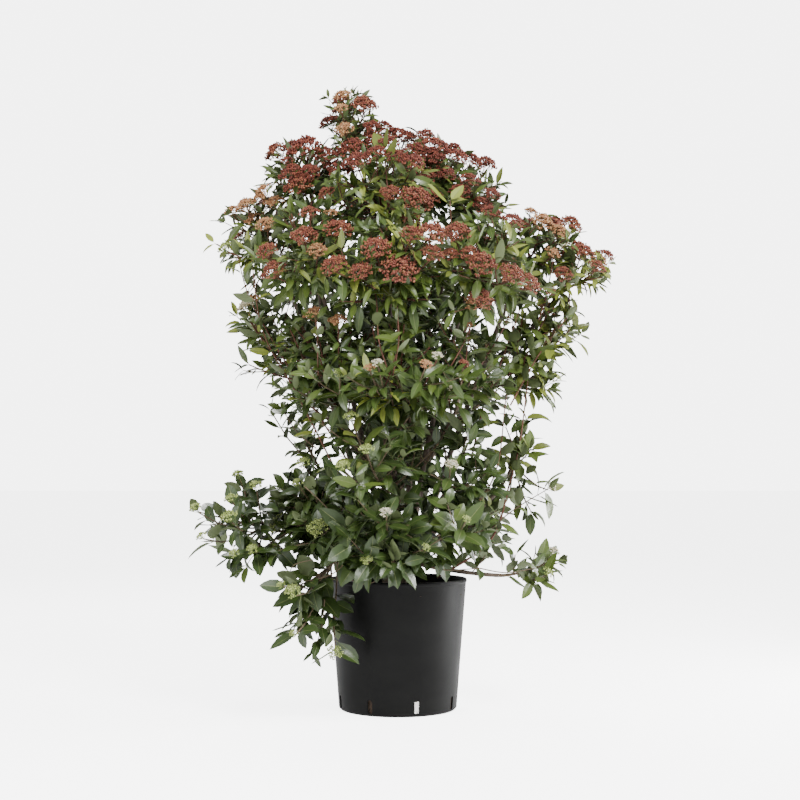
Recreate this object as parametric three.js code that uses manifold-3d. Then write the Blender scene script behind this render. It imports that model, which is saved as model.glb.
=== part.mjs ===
// Potted laurustinus: a tall evergreen shrub of many stems in a black nursery pot with drainage slots.
// Millimetres, +Z up. The origin is the centre of the pot's flat underside. +X is the viewer's right, -Y
// faces them.
import * as THREE from 'three';
import { mergeVertices } from 'three/addons/utils/BufferGeometryUtils.js';
import Module from 'manifold-3d';

const wasm = await Module();
wasm.setup();

// Gaps: between touching pieces, and between foliage and any limb that it only passes.
const SEAT_GAP = 0.3;
const PASSING_GAP = 1.2;

// Corners that lie closer than these, in millimetres, may be taken as one.
const FINEST_GRIDS = [1e-3, 1e-4];

const POT = {
  height: 300,
  rimRadius: 160,
  footRadius: 136,
  wall: 3,
  floor: 4,
  footCorner: 5,
  rimDepth: 9,
  rimStep: 1.8,
  sides: 32,
};
const SLOT = { count: 8, firstTurn: -72, width: 12, height: 31, lowest: 6, bite: 14 };
const SOIL = { top: 272, edgeDrop: 5, crown: 0.7, sides: 16 };
const STOOL = { radius: 37, flare: 13, height: 40, sides: 10 };

// The stool's outline above its flare: shares of its radius and of its height.
const STOOL_OUTLINE = [[1, 0.3], [0.86, 0.75], [0.5, 1], [0, 1.1]];
const STOOL_FLARE_RISE = 3;

// Main stems stand in a ring on the stool, and one stands at its centre. Boughs leave them.
const STEM_RING = { radius: 25, above: 14 };
const MAIN_STEM = { rootRadius: 7.6, tipRadius: 4.6, steps: 4 };
const BOUGH = { rootRadius: 5.4, tipRadius: 4.4, steps: 3 };
const LIMB_SIDES = 5;

// Inside a mass of foliage: its spine, the twigs on it, and pairs of leaves at shares of their lengths.
const SPINE = { sides: 4, steps: 3, rootRadius: 4.4, tipRadius: 3.2, entry: 0.86, end: 0.34, pairs: [0.5] };
const TWIG = {
  sides: 3,
  steps: 1,
  rootRadius: 2,
  tipRadius: 1.6,
  lowest: -0.5,
  reach: 0.58,
  uneven: 0.14,
  cutBack: 0.72,
  pairs: [0.45, 0.82],
  turns: [0, 1.1],
  slip: 0.1,
  bare: 26,
  highest: 0.97,
  deepest: 0.35,
};

// Leaves are larger than life, because one here stands for several. They grow in opposite pairs that point
// forward along their twig, spread across it and droop. They face up and a little outward.
const LEAF = { length: 112, width: 60, widest: 0.42, thickness: 1.8, smaller: 0.7, shared: 2 };
const PAIR = { forward: 0.42, spread: 0.85, droop: 0.14, outward: 0.5 };
const END_LEAF_DROOP = 0.1;
const HEAD = { radius: 38, oval: 0.85, sides: 5, dome: 12, rays: 26, lift: 1.1 };
const SIZES = { least: 0.85, spread: 0.25 };
const SPACE = { overhang: 62, margin: -0.15 };

// Where a leaf and a twig are tested for room: shares of the leaf's length and half width, and of the
// twig's length.
const LEAF_PROBES = [[0.44, 1], [0.44, -1], [0.72, 0.5], [0.72, -0.5], [0.5, 0], [1, 0]];
const TWIG_PROBES = [0.5, 0.8];

const BLOOM_LEVEL = 940;
const GOLDEN_TURN = Math.PI * (3 - Math.sqrt(5));

// The tiers of the crown, from its top down. lean is how steeply a mass's spine rises, in degrees. bow
// bends the wood that carries it: how far out and how far up its middle is pulled, as shares of the way.
const TIERS = {
  spire: { lean: 84, bow: [0.1, 0.5], twigs: 4, heads: 3, leafScale: 0.7 },
  crest: { lean: 72, bow: [0.4, 0.45], twigs: 3, heads: 2, leafScale: 0.95 },
  shoulder: { lean: 60, bow: [0.32, 0.5], twigs: 3, heads: 2, leafScale: 1 },
  wing: { lean: 42, bow: [0.5, 0.2], twigs: 3, heads: 2, leafScale: 0.72 },
  waist: { lean: 52, bow: [0.5, 0.4], twigs: 4, heads: 1, leafScale: 1 },
  heart: { lean: 80, bow: [0.8, 0.3], twigs: 4, heads: 0, leafScale: 0.9 },
  loin: { lean: 62, bow: [0.7, 0.3], twigs: 4, heads: 0, leafScale: 0.78 },
  skirt: { lean: 18, bow: [0.45, 0.8], twigs: 3, heads: 1, leafScale: 0.88 },
};

// Each mass of foliage fills an egg-shaped space. middle is the turn, reach and height of its centre: turn
// is in degrees from +X by way of the back. size is its half width and half height. root says where its
// wood starts: on the stool at a turn, or on another mass's stem at a share of its length. The first word
// of its name is its tier. bough marks wood that shows for long enough to be a limb of its own.
const MASSES = [
  { name: 'spire', middle: [182, 112, 1345], size: [62, 112], root: ['stool', 0] },
  { name: 'crest_right', middle: [14, 76, 1236], size: [98, 100], root: ['stool', 20], bow: [0.1, 0.5] },
  { name: 'shoulder_right', middle: [4, 326, 1062], size: [104, 86], root: ['stool', 340], bow: [0.42, 0.5] },
  { name: 'shoulder_right_front', middle: [310, 280, 1010], size: [112, 105], root: ['stool', 300] },
  { name: 'shoulder_front', middle: [266, 290, 985], size: [118, 105], root: ['stool', 260] },
  { name: 'shoulder_left_front', middle: [226, 285, 1010], size: [112, 108], root: ['stool', 220] },
  { name: 'shoulder_left', middle: [180, 308, 1080], size: [98, 104], root: ['stool', 180], bow: [0.4, 0.5] },
  { name: 'shoulder_left_back', middle: [132, 300, 1010], size: [115, 108], root: ['stool', 140] },
  { name: 'shoulder_back', middle: [88, 300, 985], size: [120, 110], root: ['stool', 100] },
  { name: 'shoulder_right_back', middle: [45, 300, 1010], size: [115, 108], root: ['stool', 60] },

  { name: 'crest_left', middle: [186, 222, 1232], size: [84, 84], root: ['shoulder_left', 0.62], bough: true },
  { name: 'crest_front', middle: [256, 168, 1160], size: [104, 100], root: ['spire', 0.52], bough: true },
  { name: 'crest_back', middle: [104, 175, 1160], size: [108, 102], root: ['crest_right', 0.5], bough: true },
  { name: 'crest_far_right', middle: [350, 178, 1168], size: [84, 92], root: ['crest_right', 0.58], bough: true },
  { name: 'wing_right', middle: [354, 414, 990], size: [66, 62], root: ['shoulder_right', 0.72], bough: true },

  { name: 'waist_left', middle: [188, 285, 850], size: [102, 108], root: ['shoulder_left', 0.5] },
  { name: 'waist_left_front', middle: [228, 245, 780], size: [115, 115], root: ['shoulder_left_front', 0.42] },
  { name: 'waist_front', middle: [270, 240, 770], size: [115, 118], root: ['shoulder_front', 0.42] },
  { name: 'waist_right_front', middle: [314, 245, 775], size: [115, 115], root: ['shoulder_right_front', 0.42] },
  { name: 'waist_right', middle: [0, 296, 850], size: [104, 104], root: ['shoulder_right', 0.52], twigs: 3 },
  { name: 'waist_right_back', middle: [46, 255, 775], size: [118, 118], root: ['shoulder_right_back', 0.42] },
  { name: 'waist_back', middle: [92, 245, 770], size: [118, 118], root: ['shoulder_back', 0.42] },
  { name: 'waist_left_back', middle: [138, 255, 775], size: [118, 118], root: ['shoulder_left_back', 0.42] },

  { name: 'heart_high', middle: [285, 30, 940], size: [118, 140], root: ['crest_right', 0.42] },
  { name: 'heart_low', middle: [80, 40, 610], size: [118, 130], root: ['spire', 0.12] },

  { name: 'loin_left', middle: [184, 205, 610], size: [98, 104], root: ['shoulder_left', 0.22] },
  { name: 'loin_front', middle: [262, 200, 596], size: [118, 112], root: ['shoulder_front', 0.2] },
  { name: 'loin_right_front', middle: [318, 190, 590], size: [104, 108], root: ['shoulder_right_front', 0.2] },
  {
    name: 'loin_right', middle: [358, 272, 590], size: [82, 104], root: ['shoulder_right', 0.16],
    bough: true, twigs: 3,
  },
  { name: 'loin_back', middle: [95, 195, 590], size: [115, 104], root: ['shoulder_back', 0.2] },

  {
    name: 'skirt_left', middle: [186, 346, 428], size: [122, 86], root: ['shoulder_left', 0.1],
    bough: true, twigs: 5, heads: 2,
  },
  {
    name: 'skirt_left_front', middle: [218, 246, 252], size: [84, 104], root: ['shoulder_left_front', 0.1],
    lean: -50, bow: [0.75, -0.4], twigs: 4,
  },
  { name: 'skirt_front', middle: [262, 205, 425], size: [118, 80], root: ['shoulder_front', 0.08] },
  { name: 'skirt_right_front', middle: [314, 215, 420], size: [110, 80], root: ['shoulder_right_front', 0.08] },
  { name: 'skirt_right', middle: [356, 306, 322], size: [88, 58], root: ['shoulder_right', 0.07], bough: true },
  { name: 'skirt_right_back', middle: [48, 250, 420], size: [118, 82], root: ['shoulder_right_back', 0.08] },
  { name: 'skirt_left_back', middle: [122, 255, 420], size: [120, 84], root: ['shoulder_left_back', 0.08] },
  { name: 'skirt_left_inner', middle: [196, 214, 455], size: [90, 74], root: ['shoulder_left', 0.13], twigs: 4 },
].map((mass, index) => ({ ...TIERS[mass.name.split('_')[0]], ...mass, index }));

const looks = {
  pot: { color: 0x2b2c2b, roughness: 0.5, metalness: 0 },
  soil: { color: 0x35261c, roughness: 0.95, metalness: 0 },
  bark: { color: 0x5c4436, roughness: 0.85, metalness: 0 },
  bloom: { color: 0x8c4a40, roughness: 0.7, metalness: 0 },
  leaf: { color: 0x4c5a34, roughness: 0.5, metalness: 0 },
};

// A seeded random source, so that every build grows the same shrub.
function seededRandom(seed) {
  let state = Math.imul(seed + 1, 2654435761) >>> 0;
  return () => {
    state = (Math.imul(state, 1664525) + 1013904223) >>> 0;
    return state / 4294967296;
  };
}

// A closed geometry as a solid that can be joined and cut.
function solidFrom(geometry) {
  const bare = geometry.clone();
  bare.deleteAttribute('normal');
  bare.deleteAttribute('uv');
  const merged = mergeVertices(bare, 1e-4);
  return new wasm.Manifold(new wasm.Mesh({
    numProp: 3,
    vertProperties: merged.attributes.position.array,
    triVerts: new Uint32Array(merged.index.array),
  }));
}

function geometryFrom(solid) {
  const mesh = solid.getMesh();
  const geometry = new THREE.BufferGeometry();
  geometry.setAttribute('position', new THREE.BufferAttribute(mesh.vertProperties, 3));
  geometry.setIndex(new THREE.BufferAttribute(mesh.triVerts, 1));
  geometry.computeVertexNormals();
  return geometry;
}

// The largest closed body of a solid: loose scraps are dropped.
function largestBody(solid) {
  return solid.decompose().reduce((best, body) => (body.volume() > best.volume() ? body : best));
}

// Whether a solid is one body that stays closed when its corners are rounded to a grid: cuts can leave
// corners that lie closer than that.
function isSound(solid) {
  const mesh = solid.getMesh();
  const { vertProperties: place, triVerts } = mesh;
  return FINEST_GRIDS.every((grid) => {
    const corners = new Map();
    const cornerOf = (vertex) => {
      const key = [0, 1, 2].map((axis) => Math.round(place[vertex * 3 + axis] / grid)).join();
      if (!corners.has(key)) corners.set(key, corners.size);
      return corners.get(key);
    };
    const edges = new Set();
    let isDoubled = false;
    for (let i = 0; i < triVerts.length; i += 3) {
      const face = [0, 1, 2].map((corner) => cornerOf(triVerts[i + corner]));
      if (new Set(face).size < 3) continue;
      for (let side = 0; side < 3; side++) {
        const edge = `${face[side]} ${face[(side + 1) % 3]}`;
        if (edges.has(edge)) isDoubled = true;
        edges.add(edge);
      }
    }
    return !isDoubled && [...edges].every((edge) => edges.has(edge.split(' ').reverse().join(' ')));
  });
}

function meshOf(name, look, solid) {
  const mesh = new THREE.Mesh(geometryFrom(solid), new THREE.MeshStandardMaterial(looks[look]));
  mesh.name = name;
  return mesh;
}

function polar(turnDegrees, reach, height) {
  const turn = THREE.MathUtils.degToRad(turnDegrees);
  return new THREE.Vector3(reach * Math.cos(turn), reach * Math.sin(turn), height);
}

// A closed rod of flat sides through a row of stations. Each station has a centre, the direction of travel
// there, and a half width and half depth. The last one may have no width, which makes it a point. facing is
// the side that is up.
function rodSolid(stations, sides, facing) {
  const last = stations.length - 1;
  const rod = new THREE.CylinderGeometry(stations[last].width ? 1 : 0, 1, 1, sides, last);
  const place = rod.attributes.position;
  for (let i = 0; i < place.count; i++) {
    const { centre, along, width, depth } = stations[Math.round((place.getY(i) + 0.5) * last)];
    const side = new THREE.Vector3().crossVectors(facing, along).normalize();
    const below = new THREE.Vector3().crossVectors(side, along).normalize();
    const turn = Math.atan2(place.getX(i), place.getZ(i));
    const isCentre = Math.hypot(place.getX(i), place.getZ(i)) < 1e-6;
    const out = isCentre ? 0 : 1;
    const point = centre.clone()
      .addScaledVector(side, Math.sin(turn) * width * out)
      .addScaledVector(below, Math.cos(turn) * depth * out);
    place.setXYZ(i, point.x, point.y, point.z);
  }
  return solidFrom(rod);
}

// The stations of a round stem that tapers along a curve.
function stemStations(curve, rootRadius, tipRadius, steps) {
  return Array.from({ length: steps + 1 }, (_, i) => {
    const radius = THREE.MathUtils.lerp(rootRadius, tipRadius, i / steps);
    const centre = curve.getPoint(i / steps);
    return { centre, along: curve.getTangent(i / steps), width: radius, depth: radius };
  });
}

// The side of a rod that is up: true up, or a level direction where the rod is nearly upright.
const ACROSS = new THREE.Vector3(0.31, 0.95, 0);
const UP = new THREE.Vector3(0, 0, 1);
const STEEP = 0.8;
function facingOf(curve) {
  const rise = curve.getPoint(1).sub(curve.getPoint(0)).normalize().z;
  return Math.abs(rise) < STEEP ? UP : ACROSS;
}

// The pot is a tapered bucket with a small rolled rim and upright drainage slots low in its wall.
function potSolid() {
  const { height, rimRadius, footRadius, wall, floor, footCorner, rimDepth, rimStep, sides } = POT;
  const lipRadius = rimRadius - rimStep;
  let pot = turned([
    [0, 0], [footRadius - footCorner, 0], [footRadius, footCorner],
    [lipRadius, height - rimDepth], [rimRadius, height - rimDepth + rimStep], [rimRadius, height - rimStep],
    [rimRadius - rimStep, height], [lipRadius - wall, height],
    [footRadius - wall, floor], [0, floor],
  ], sides);
  for (let i = 0; i < SLOT.count; i++) {
    pot = pot.subtract(slotCutter(SLOT.firstTurn + (i * 360) / SLOT.count));
  }
  return pot;
}

// One slot's cutter: an upright bar with a round top and bottom that runs through the wall.
function slotCutter(turnDegrees) {
  const { width, height, lowest, bite } = SLOT;
  const outline = new THREE.Shape();
  const half = width / 2;
  outline.absarc(0, lowest + half, half, Math.PI, 0, false);
  outline.absarc(0, lowest + height - half, half, 0, Math.PI, false);
  outline.closePath();
  const bar = new THREE.ExtrudeGeometry(outline, { depth: bite, bevelEnabled: false, curveSegments: 2 });
  bar.rotateX(Math.PI / 2);
  bar.translate(0, -(POT.footRadius - bite / 2), 0);
  bar.rotateZ(THREE.MathUtils.degToRad(turnDegrees));
  return solidFrom(bar);
}

// A solid turned about the pot's axis from a list of [radius, level].
function turned(profile, sides) {
  const outline = profile.map(([radius, level]) => new THREE.Vector2(radius, level));
  return solidFrom(new THREE.LatheGeometry(outline, sides).rotateX(Math.PI / 2));
}

// Soil fills the pot to just under its rim. Its corners stay a gap inside the flats of the pot's wall.
function soilSolid() {
  const { floor, wall, footRadius, rimRadius, rimStep, height, sides } = POT;
  const flats = Math.cos(Math.PI / sides);
  const inner = (level) => {
    const rise = (level - floor) / (height - floor);
    return THREE.MathUtils.lerp(footRadius - wall, rimRadius - rimStep - wall, rise) * flats - SEAT_GAP;
  };
  const low = floor + SEAT_GAP;
  const edge = SOIL.top - SOIL.edgeDrop;
  return turned([
    [0, low], [inner(low), low], [inner(edge), edge], [inner(SOIL.top) * SOIL.crown, SOIL.top], [0, SOIL.top],
  ], SOIL.sides);
}

// What foliage keeps clear of round the pot: a plain cup a little larger than it.
function potKeepOut() {
  const grow = PASSING_GAP;
  const inside = POT.rimRadius - POT.wall * 2 - grow;
  return turned([
    [0, -grow], [POT.footRadius + grow, -grow], [POT.rimRadius + grow, POT.height + grow],
    [inside, POT.height + grow], [inside, SOIL.top + grow], [0, SOIL.top + grow],
  ], SOIL.sides);
}

// The woody stool: the short stem that all the others rise from, flared where it meets the soil and cut
// flat there. It is grown by a gap for what must clear it.
function stoolSolid(grow) {
  const foot = SOIL.top + SEAT_GAP;
  const { radius, flare, height, sides } = STOOL;
  const base = radius + flare + grow;
  return turned([
    [0, foot - grow], [base, foot - grow], [base, foot + STOOL_FLARE_RISE],
    ...STOOL_OUTLINE.map(([out, up]) => [out && out * radius + grow, foot + up * height + (up < 1 ? 0 : grow)]),
  ], sides);
}

// The point of a mass's space in a direction: a share of 1 is on its outline.
function outlinePoint(mass, direction, share) {
  return mass.extent.clone().multiply(direction).multiplyScalar(share).add(mass.centre);
}

for (const mass of MASSES) {
  const [across, tall] = mass.size;
  const lean = THREE.MathUtils.degToRad(mass.lean);
  mass.centre = polar(...mass.middle);
  mass.extent = new THREE.Vector3(across, across, tall);
  mass.axis = polar(mass.middle[0], Math.cos(lean), Math.sin(lean));
  mass.entry = outlinePoint(mass, mass.axis, -SPINE.entry);
  mass.apex = outlinePoint(mass, mass.axis, SPINE.end);
}
const massNamed = (name) => MASSES.find((mass) => mass.name === name);

// Wood runs to a mass's entry from its root: a bowed curve.
function bowedCurve(start, end, [out, up]) {
  const middle = new THREE.Vector3(
    THREE.MathUtils.lerp(start.x, end.x, out),
    THREE.MathUtils.lerp(start.y, end.y, out),
    THREE.MathUtils.lerp(start.z, end.z, up),
  );
  return new THREE.QuadraticBezierCurve3(start, middle, end);
}

// Where a mass's wood starts: on the stool, or inside another limb.
function rootOf(mass) {
  const [parent, place] = mass.root;
  if (parent !== 'stool') return massNamed(parent).limb.getPoint(place);
  const radius = mass.name === 'spire' ? 0 : STEM_RING.radius;
  return polar(place, radius, SOIL.top + SEAT_GAP + STEM_RING.above);
}

// A limb's solid, grown by a gap for what must clear it.
function limbSolid(mass, grow) {
  const { rootRadius, tipRadius, steps } = mass.bough ? BOUGH : MAIN_STEM;
  const stations = stemStations(mass.limb, rootRadius + grow, tipRadius + grow, steps);
  return rodSolid(stations, LIMB_SIDES, facingOf(mass.limb));
}

// The main stems and boughs, each cut clear of what it grows from, and what later wood must be cut clear of.
function buildLimbs() {
  const seats = new Map([['stool', stoolSolid(SEAT_GAP)]]);
  const limbs = [];
  for (const mass of MASSES) {
    if (mass.root[0] !== 'stool' && !mass.bough) continue;
    mass.limb = bowedCurve(rootOf(mass), mass.entry, mass.bow);
    const solid = largestBody(limbSolid(mass, 0).subtract(seats.get(mass.root[0])));
    seats.set(mass.name, limbSolid(mass, SEAT_GAP));
    limbs.push({ mass, solid });
  }
  return { seats, limbs };
}

// Where a mass's spine runs: on from its limb's tip, or from inside the limb that carries it, to its apex.
function spineCurve(mass) {
  if (!mass.limb) return bowedCurve(rootOf(mass), mass.apex, mass.bow);
  const ahead = mass.limb.getTangent(1);
  const start = mass.entry.clone().addScaledVector(ahead, SEAT_GAP);
  const middle = start.clone().addScaledVector(ahead, mass.extent.z / 2);
  return new THREE.QuadraticBezierCurve3(start, middle, mass.apex);
}

// A spine's solid, grown by a gap for what must clear it, and cut clear of the limb that carries it.
function spineSolid(mass, grow, seats) {
  const { rootRadius, tipRadius, sides, steps } = SPINE;
  const stations = stemStations(mass.spine, rootRadius + grow, tipRadius + grow, steps);
  const whole = rodSolid(stations, sides, facingOf(mass.spine));
  return mass.limb ? whole : largestBody(whole.subtract(seats.get(mass.root[0])));
}

// How far out a point lies in a mass's space: 0 at its centre and 1 on its outline.
const depthIn = (mass, point) => point.clone().sub(mass.centre).divide(mass.extent).length();

// A mass's own space is where it is the nearest mass, with a margin, out to a little past its outline.
function inOwnSpace(mass, points) {
  return points.every((point) => {
    const own = depthIn(mass, point);
    if (own > 1 + SPACE.overhang / Math.min(mass.extent.x, mass.extent.z)) return false;
    return MASSES.every((other) => other === mass || own + SPACE.margin < depthIn(other, point));
  });
}

// A leaf blade: a pointed oval, widest below its middle, flat above and with a keel below.
function leafSolid(base, along, facing, scale) {
  const side = new THREE.Vector3().crossVectors(facing, along).normalize();
  const below = new THREE.Vector3().crossVectors(side, along).normalize();
  const blade = new THREE.SphereGeometry(1, 3, 2);
  const place = blade.attributes.position;
  for (let i = 0; i < place.count; i++) {
    const [x, y, z] = [place.getX(i), place.getY(i), place.getZ(i)];
    const isEdge = Math.abs(y) < 0.5;
    const end = y < 0 ? 0 : 1;
    const point = base.clone().addScaledVector(along, (isEdge ? LEAF.widest : end) * LEAF.length * scale);
    if (isEdge) {
      point.addScaledVector(side, (z * LEAF.width * scale) / Math.sqrt(3));
      point.addScaledVector(below, -x * LEAF.thickness);
    }
    place.setXYZ(i, point.x, point.y, point.z);
  }
  return solidFrom(blade);
}

// The stations of the leaf that ends a twig: on from its tip, out to the leaf's full width, and in to its
// point.
function endLeafStations(base, along, scale) {
  const at = (reach) => base.clone().addScaledVector(along, reach * LEAF.length * scale);
  return [
    { centre: at(LEAF.widest), along, width: (LEAF.width * scale) / Math.sqrt(3), depth: LEAF.thickness },
    { centre: at(1), along, width: 0, depth: 0 },
  ];
}

// The stations of the flower head that ends a twig: its rays spread to a wide rim under a low dome of buds.
function headStations(base, along, scale) {
  const at = (rise) => base.clone().addScaledVector(along, rise * scale);
  return [
    { centre: at(HEAD.rays), along, width: HEAD.radius * scale, depth: HEAD.radius * scale * HEAD.oval },
    { centre: at(HEAD.rays + HEAD.dome), along, width: 0, depth: 0 },
  ];
}

// The points at which a leaf is tested against its mass's space.
function leafProbes(base, along, facing, scale) {
  const side = new THREE.Vector3().crossVectors(along, facing).normalize();
  const at = (reach, out) => base.clone()
    .addScaledVector(along, reach * LEAF.length * scale)
    .addScaledVector(side, (out * LEAF.width * scale) / 2);
  return LEAF_PROBES.map(([reach, out]) => at(reach, out));
}

// The k-th twig of a mass runs from its spine to the k-th place of a golden spiral, from its apex down its
// outline.
function twigCurve(mass, k, reach) {
  const drop = k / mass.twigs;
  const rise = THREE.MathUtils.lerp(1, TWIG.lowest, drop);
  const turn = k * GOLDEN_TURN + mass.index;
  const sideways = new THREE.Vector3().crossVectors(mass.axis, ACROSS).normalize();
  const forward = new THREE.Vector3().crossVectors(sideways, mass.axis);
  const flat = Math.sqrt(1 - rise * rise);
  const direction = mass.axis.clone().multiplyScalar(rise)
    .addScaledVector(sideways, flat * Math.cos(turn))
    .addScaledVector(forward, flat * Math.sin(turn));
  const start = mass.spine.getPoint(THREE.MathUtils.lerp(TWIG.highest, TWIG.deepest, drop));
  return new THREE.LineCurve3(start, outlinePoint(mass, direction, reach));
}

// The direction across a stem at an angle about it, in the frame that its rod is built in.
function acrossStem(tangent, facing, angle) {
  return new THREE.Vector3().crossVectors(facing, tangent).normalize().applyAxisAngle(tangent, angle);
}

// Joins pieces to a mass one by one, passing over any that would leave its space or touch other wood or
// foliage.
class Spray {
  constructor(mass, spine, obstacles) {
    Object.assign(this, { mass, solid: spine, obstacles, heads: 0 });
  }

  isClear(piece) {
    const box = piece.boundingBox();
    return this.obstacles.every((other) => !boxesMeet(box, other.box) || piece.intersect(other.solid).isEmpty());
  }

  add(piece, probes, mostShared) {
    if (!inOwnSpace(this.mass, probes) || !this.isClear(piece)) return false;
    if (this.solid.intersect(piece).volume() > mostShared) return false;
    this.solid = this.solid.add(piece);
    return true;
  }

  // An opposite pair of leaves. One that doesn't fit is tried smaller, and then left out.
  addPair(curve, share, angle, scale) {
    const base = curve.getPoint(share);
    const tangent = curve.getTangent(share);
    const across = acrossStem(tangent, facingOf(curve), angle);
    const facing = this.facingAt(base);
    for (const way of [1, -1]) {
      const along = tangent.clone().multiplyScalar(PAIR.forward)
        .addScaledVector(across, way * PAIR.spread)
        .addScaledVector(UP, -PAIR.droop)
        .normalize();
      [scale, scale * LEAF.smaller].some((size) => (
        this.add(leafSolid(base, along, facing, size), leafProbes(base, along, facing, size), LEAF.shared)
      ));
    }
  }

  facingAt(point) {
    const outward = point.clone().sub(this.mass.centre).setZ(0).normalize();
    return UP.clone().addScaledVector(outward, PAIR.outward);
  }

  // A twig and the flower head that ends it are one rod.
  addFloweringTwig(curve, scale) {
    const end = curve.getPoint(1);
    const along = curve.getTangent(1).addScaledVector(UP, HEAD.lift).normalize();
    const top = end.clone().addScaledVector(along, HEAD.rays * scale);
    const rim = acrossStem(along, facingOf(curve), 0).multiplyScalar(HEAD.radius * scale);
    const probes = [...midway(curve), top, top.clone().add(rim), top.clone().sub(rim)];
    const stations = [...twigStations(curve), ...headStations(end, along, scale)];
    const fits = this.add(rodSolid(stations, HEAD.sides, facingOf(curve)), probes, Infinity);
    if (fits) this.heads += 1;
    return fits;
  }

  // So are a twig and the leaf that ends it.
  addLeafyTwig(curve, scale) {
    const end = curve.getPoint(1);
    const along = curve.getTangent(1).addScaledVector(UP, -END_LEAF_DROOP).normalize();
    const facing = facingOf(curve);
    const stations = [...twigStations(curve), ...endLeafStations(end, along, scale)];
    const probes = [...midway(curve), ...leafProbes(end, along, facing, scale)];
    return this.add(rodSolid(stations, TWIG.sides, facing), probes, Infinity);
  }
}

const midway = (curve) => TWIG_PROBES.map((share) => curve.getPoint(share));
const twigStations = (curve) => stemStations(curve, TWIG.rootRadius, TWIG.tipRadius, TWIG.steps);

function boxesMeet(a, b) {
  return [0, 1, 2].every((axis) => a.min[axis] <= b.max[axis] && b.min[axis] <= a.max[axis]);
}

const obstacleFrom = (solid) => ({ solid, box: solid.boundingBox() });

// Grows one mass: twigs from its apex down, with pairs of leaves on them and on the spine. A twig that
// doesn't fit is tried shorter, and then left out.
function growMass(mass, spine, obstacles, seed) {
  const random = seededRandom(seed);
  const spray = new Spray(mass, spine, obstacles);
  const scale = () => SIZES.least + SIZES.spread * random();
  for (let k = 0; k < mass.twigs; k++) {
    const reach = TWIG.reach + TWIG.uneven * random();
    const size = scale();
    const curve = [1, TWIG.cutBack].map((share) => twigCurve(mass, k, reach * share)).find((way) => (
      (spray.heads < mass.heads && spray.addFloweringTwig(way, size))
        || spray.addLeafyTwig(way, size * mass.leafScale)
        || spray.addLeafyTwig(way, size * mass.leafScale * LEAF.smaller)
    ));
    if (!curve) continue;
    TWIG.pairs.forEach((share, pair) => {
      const place = share + TWIG.slip * random();
      if (place * curve.getLength() < TWIG.bare) return;
      spray.addPair(curve, place, TWIG.turns[(k + pair) % 2], mass.leafScale * scale());
    });
  }
  SPINE.pairs.forEach((share, pair) => {
    spray.addPair(mass.spine, share, (pair + 0.5) * (Math.PI / 2), mass.leafScale * scale());
  });
  return largestBody(spray.solid);
}

// A mass that doesn't come out sound is grown again from the next seed.
function growSoundMass(mass, spine, obstacles) {
  for (let seed = mass.index; ; seed += MASSES.length) {
    const solid = growMass(mass, spine, obstacles, seed);
    if (isSound(solid)) return solid;
  }
}

function buildShrub() {
  const shrub = new THREE.Group();
  shrub.add(meshOf('pot', 'pot', potSolid()));
  shrub.add(meshOf('soil', 'soil', soilSolid()));
  shrub.add(meshOf('stool', 'bark', stoolSolid(0)));
  const { seats, limbs } = buildLimbs();
  for (const { mass, solid } of limbs) {
    shrub.add(meshOf(`${mass.bough ? 'bough' : 'stem'}_${mass.name}`, 'bark', solid));
  }
  for (const mass of MASSES) mass.spine = spineCurve(mass);
  const wood = [potKeepOut(), stoolSolid(PASSING_GAP), ...limbs.map(({ mass }) => limbSolid(mass, PASSING_GAP))];
  const standing = wood.map(obstacleFrom);
  const keptClear = MASSES.map((mass) => obstacleFrom(spineSolid(mass, PASSING_GAP, seats)));
  for (const mass of MASSES) {
    const others = keptClear.filter((spine, index) => index !== mass.index);
    const solid = growSoundMass(mass, spineSolid(mass, 0, seats), [...standing, ...others]);
    standing.push(obstacleFrom(solid));
    shrub.add(meshOf(`foliage_${mass.name}`, mass.centre.z > BLOOM_LEVEL ? 'bloom' : 'leaf', solid));
  }
  return shrub;
}

export default buildShrub();
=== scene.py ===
# Potted laurustinus: the looks of a tall evergreen shrub in flower bud, in a black nursery pot.
# The plan is in millimetres, in the frame of the solids: +Z up, -Y towards the viewer. Meshes are in metres.
import itertools
import math

import bmesh
import bpy
import numpy as np
from mathutils import Matrix, Vector


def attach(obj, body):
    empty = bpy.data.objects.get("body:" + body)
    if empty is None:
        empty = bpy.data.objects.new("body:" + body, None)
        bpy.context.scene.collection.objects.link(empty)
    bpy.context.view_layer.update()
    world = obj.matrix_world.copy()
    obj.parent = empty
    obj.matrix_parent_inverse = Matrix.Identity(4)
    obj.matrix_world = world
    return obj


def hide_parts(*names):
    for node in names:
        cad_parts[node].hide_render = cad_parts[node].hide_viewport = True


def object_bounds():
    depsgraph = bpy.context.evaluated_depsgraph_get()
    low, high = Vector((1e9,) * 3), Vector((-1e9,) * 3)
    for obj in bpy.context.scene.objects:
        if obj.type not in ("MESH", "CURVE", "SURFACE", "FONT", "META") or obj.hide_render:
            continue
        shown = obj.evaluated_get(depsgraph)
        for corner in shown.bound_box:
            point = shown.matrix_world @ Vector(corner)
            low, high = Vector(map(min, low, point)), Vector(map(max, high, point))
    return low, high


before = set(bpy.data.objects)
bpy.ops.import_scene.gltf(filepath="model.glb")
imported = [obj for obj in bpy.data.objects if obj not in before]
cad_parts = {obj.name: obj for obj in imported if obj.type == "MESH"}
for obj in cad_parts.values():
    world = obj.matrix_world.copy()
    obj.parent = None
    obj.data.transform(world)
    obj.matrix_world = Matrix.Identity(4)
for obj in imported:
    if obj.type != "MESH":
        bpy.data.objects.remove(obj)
cad_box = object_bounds()

MM = 0.001
FULL_TURN = 2 * math.pi
GOLDEN_TURN = math.pi * (3 - math.sqrt(5))
UP = np.array([0.0, 0.0, 1.0])

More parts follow.
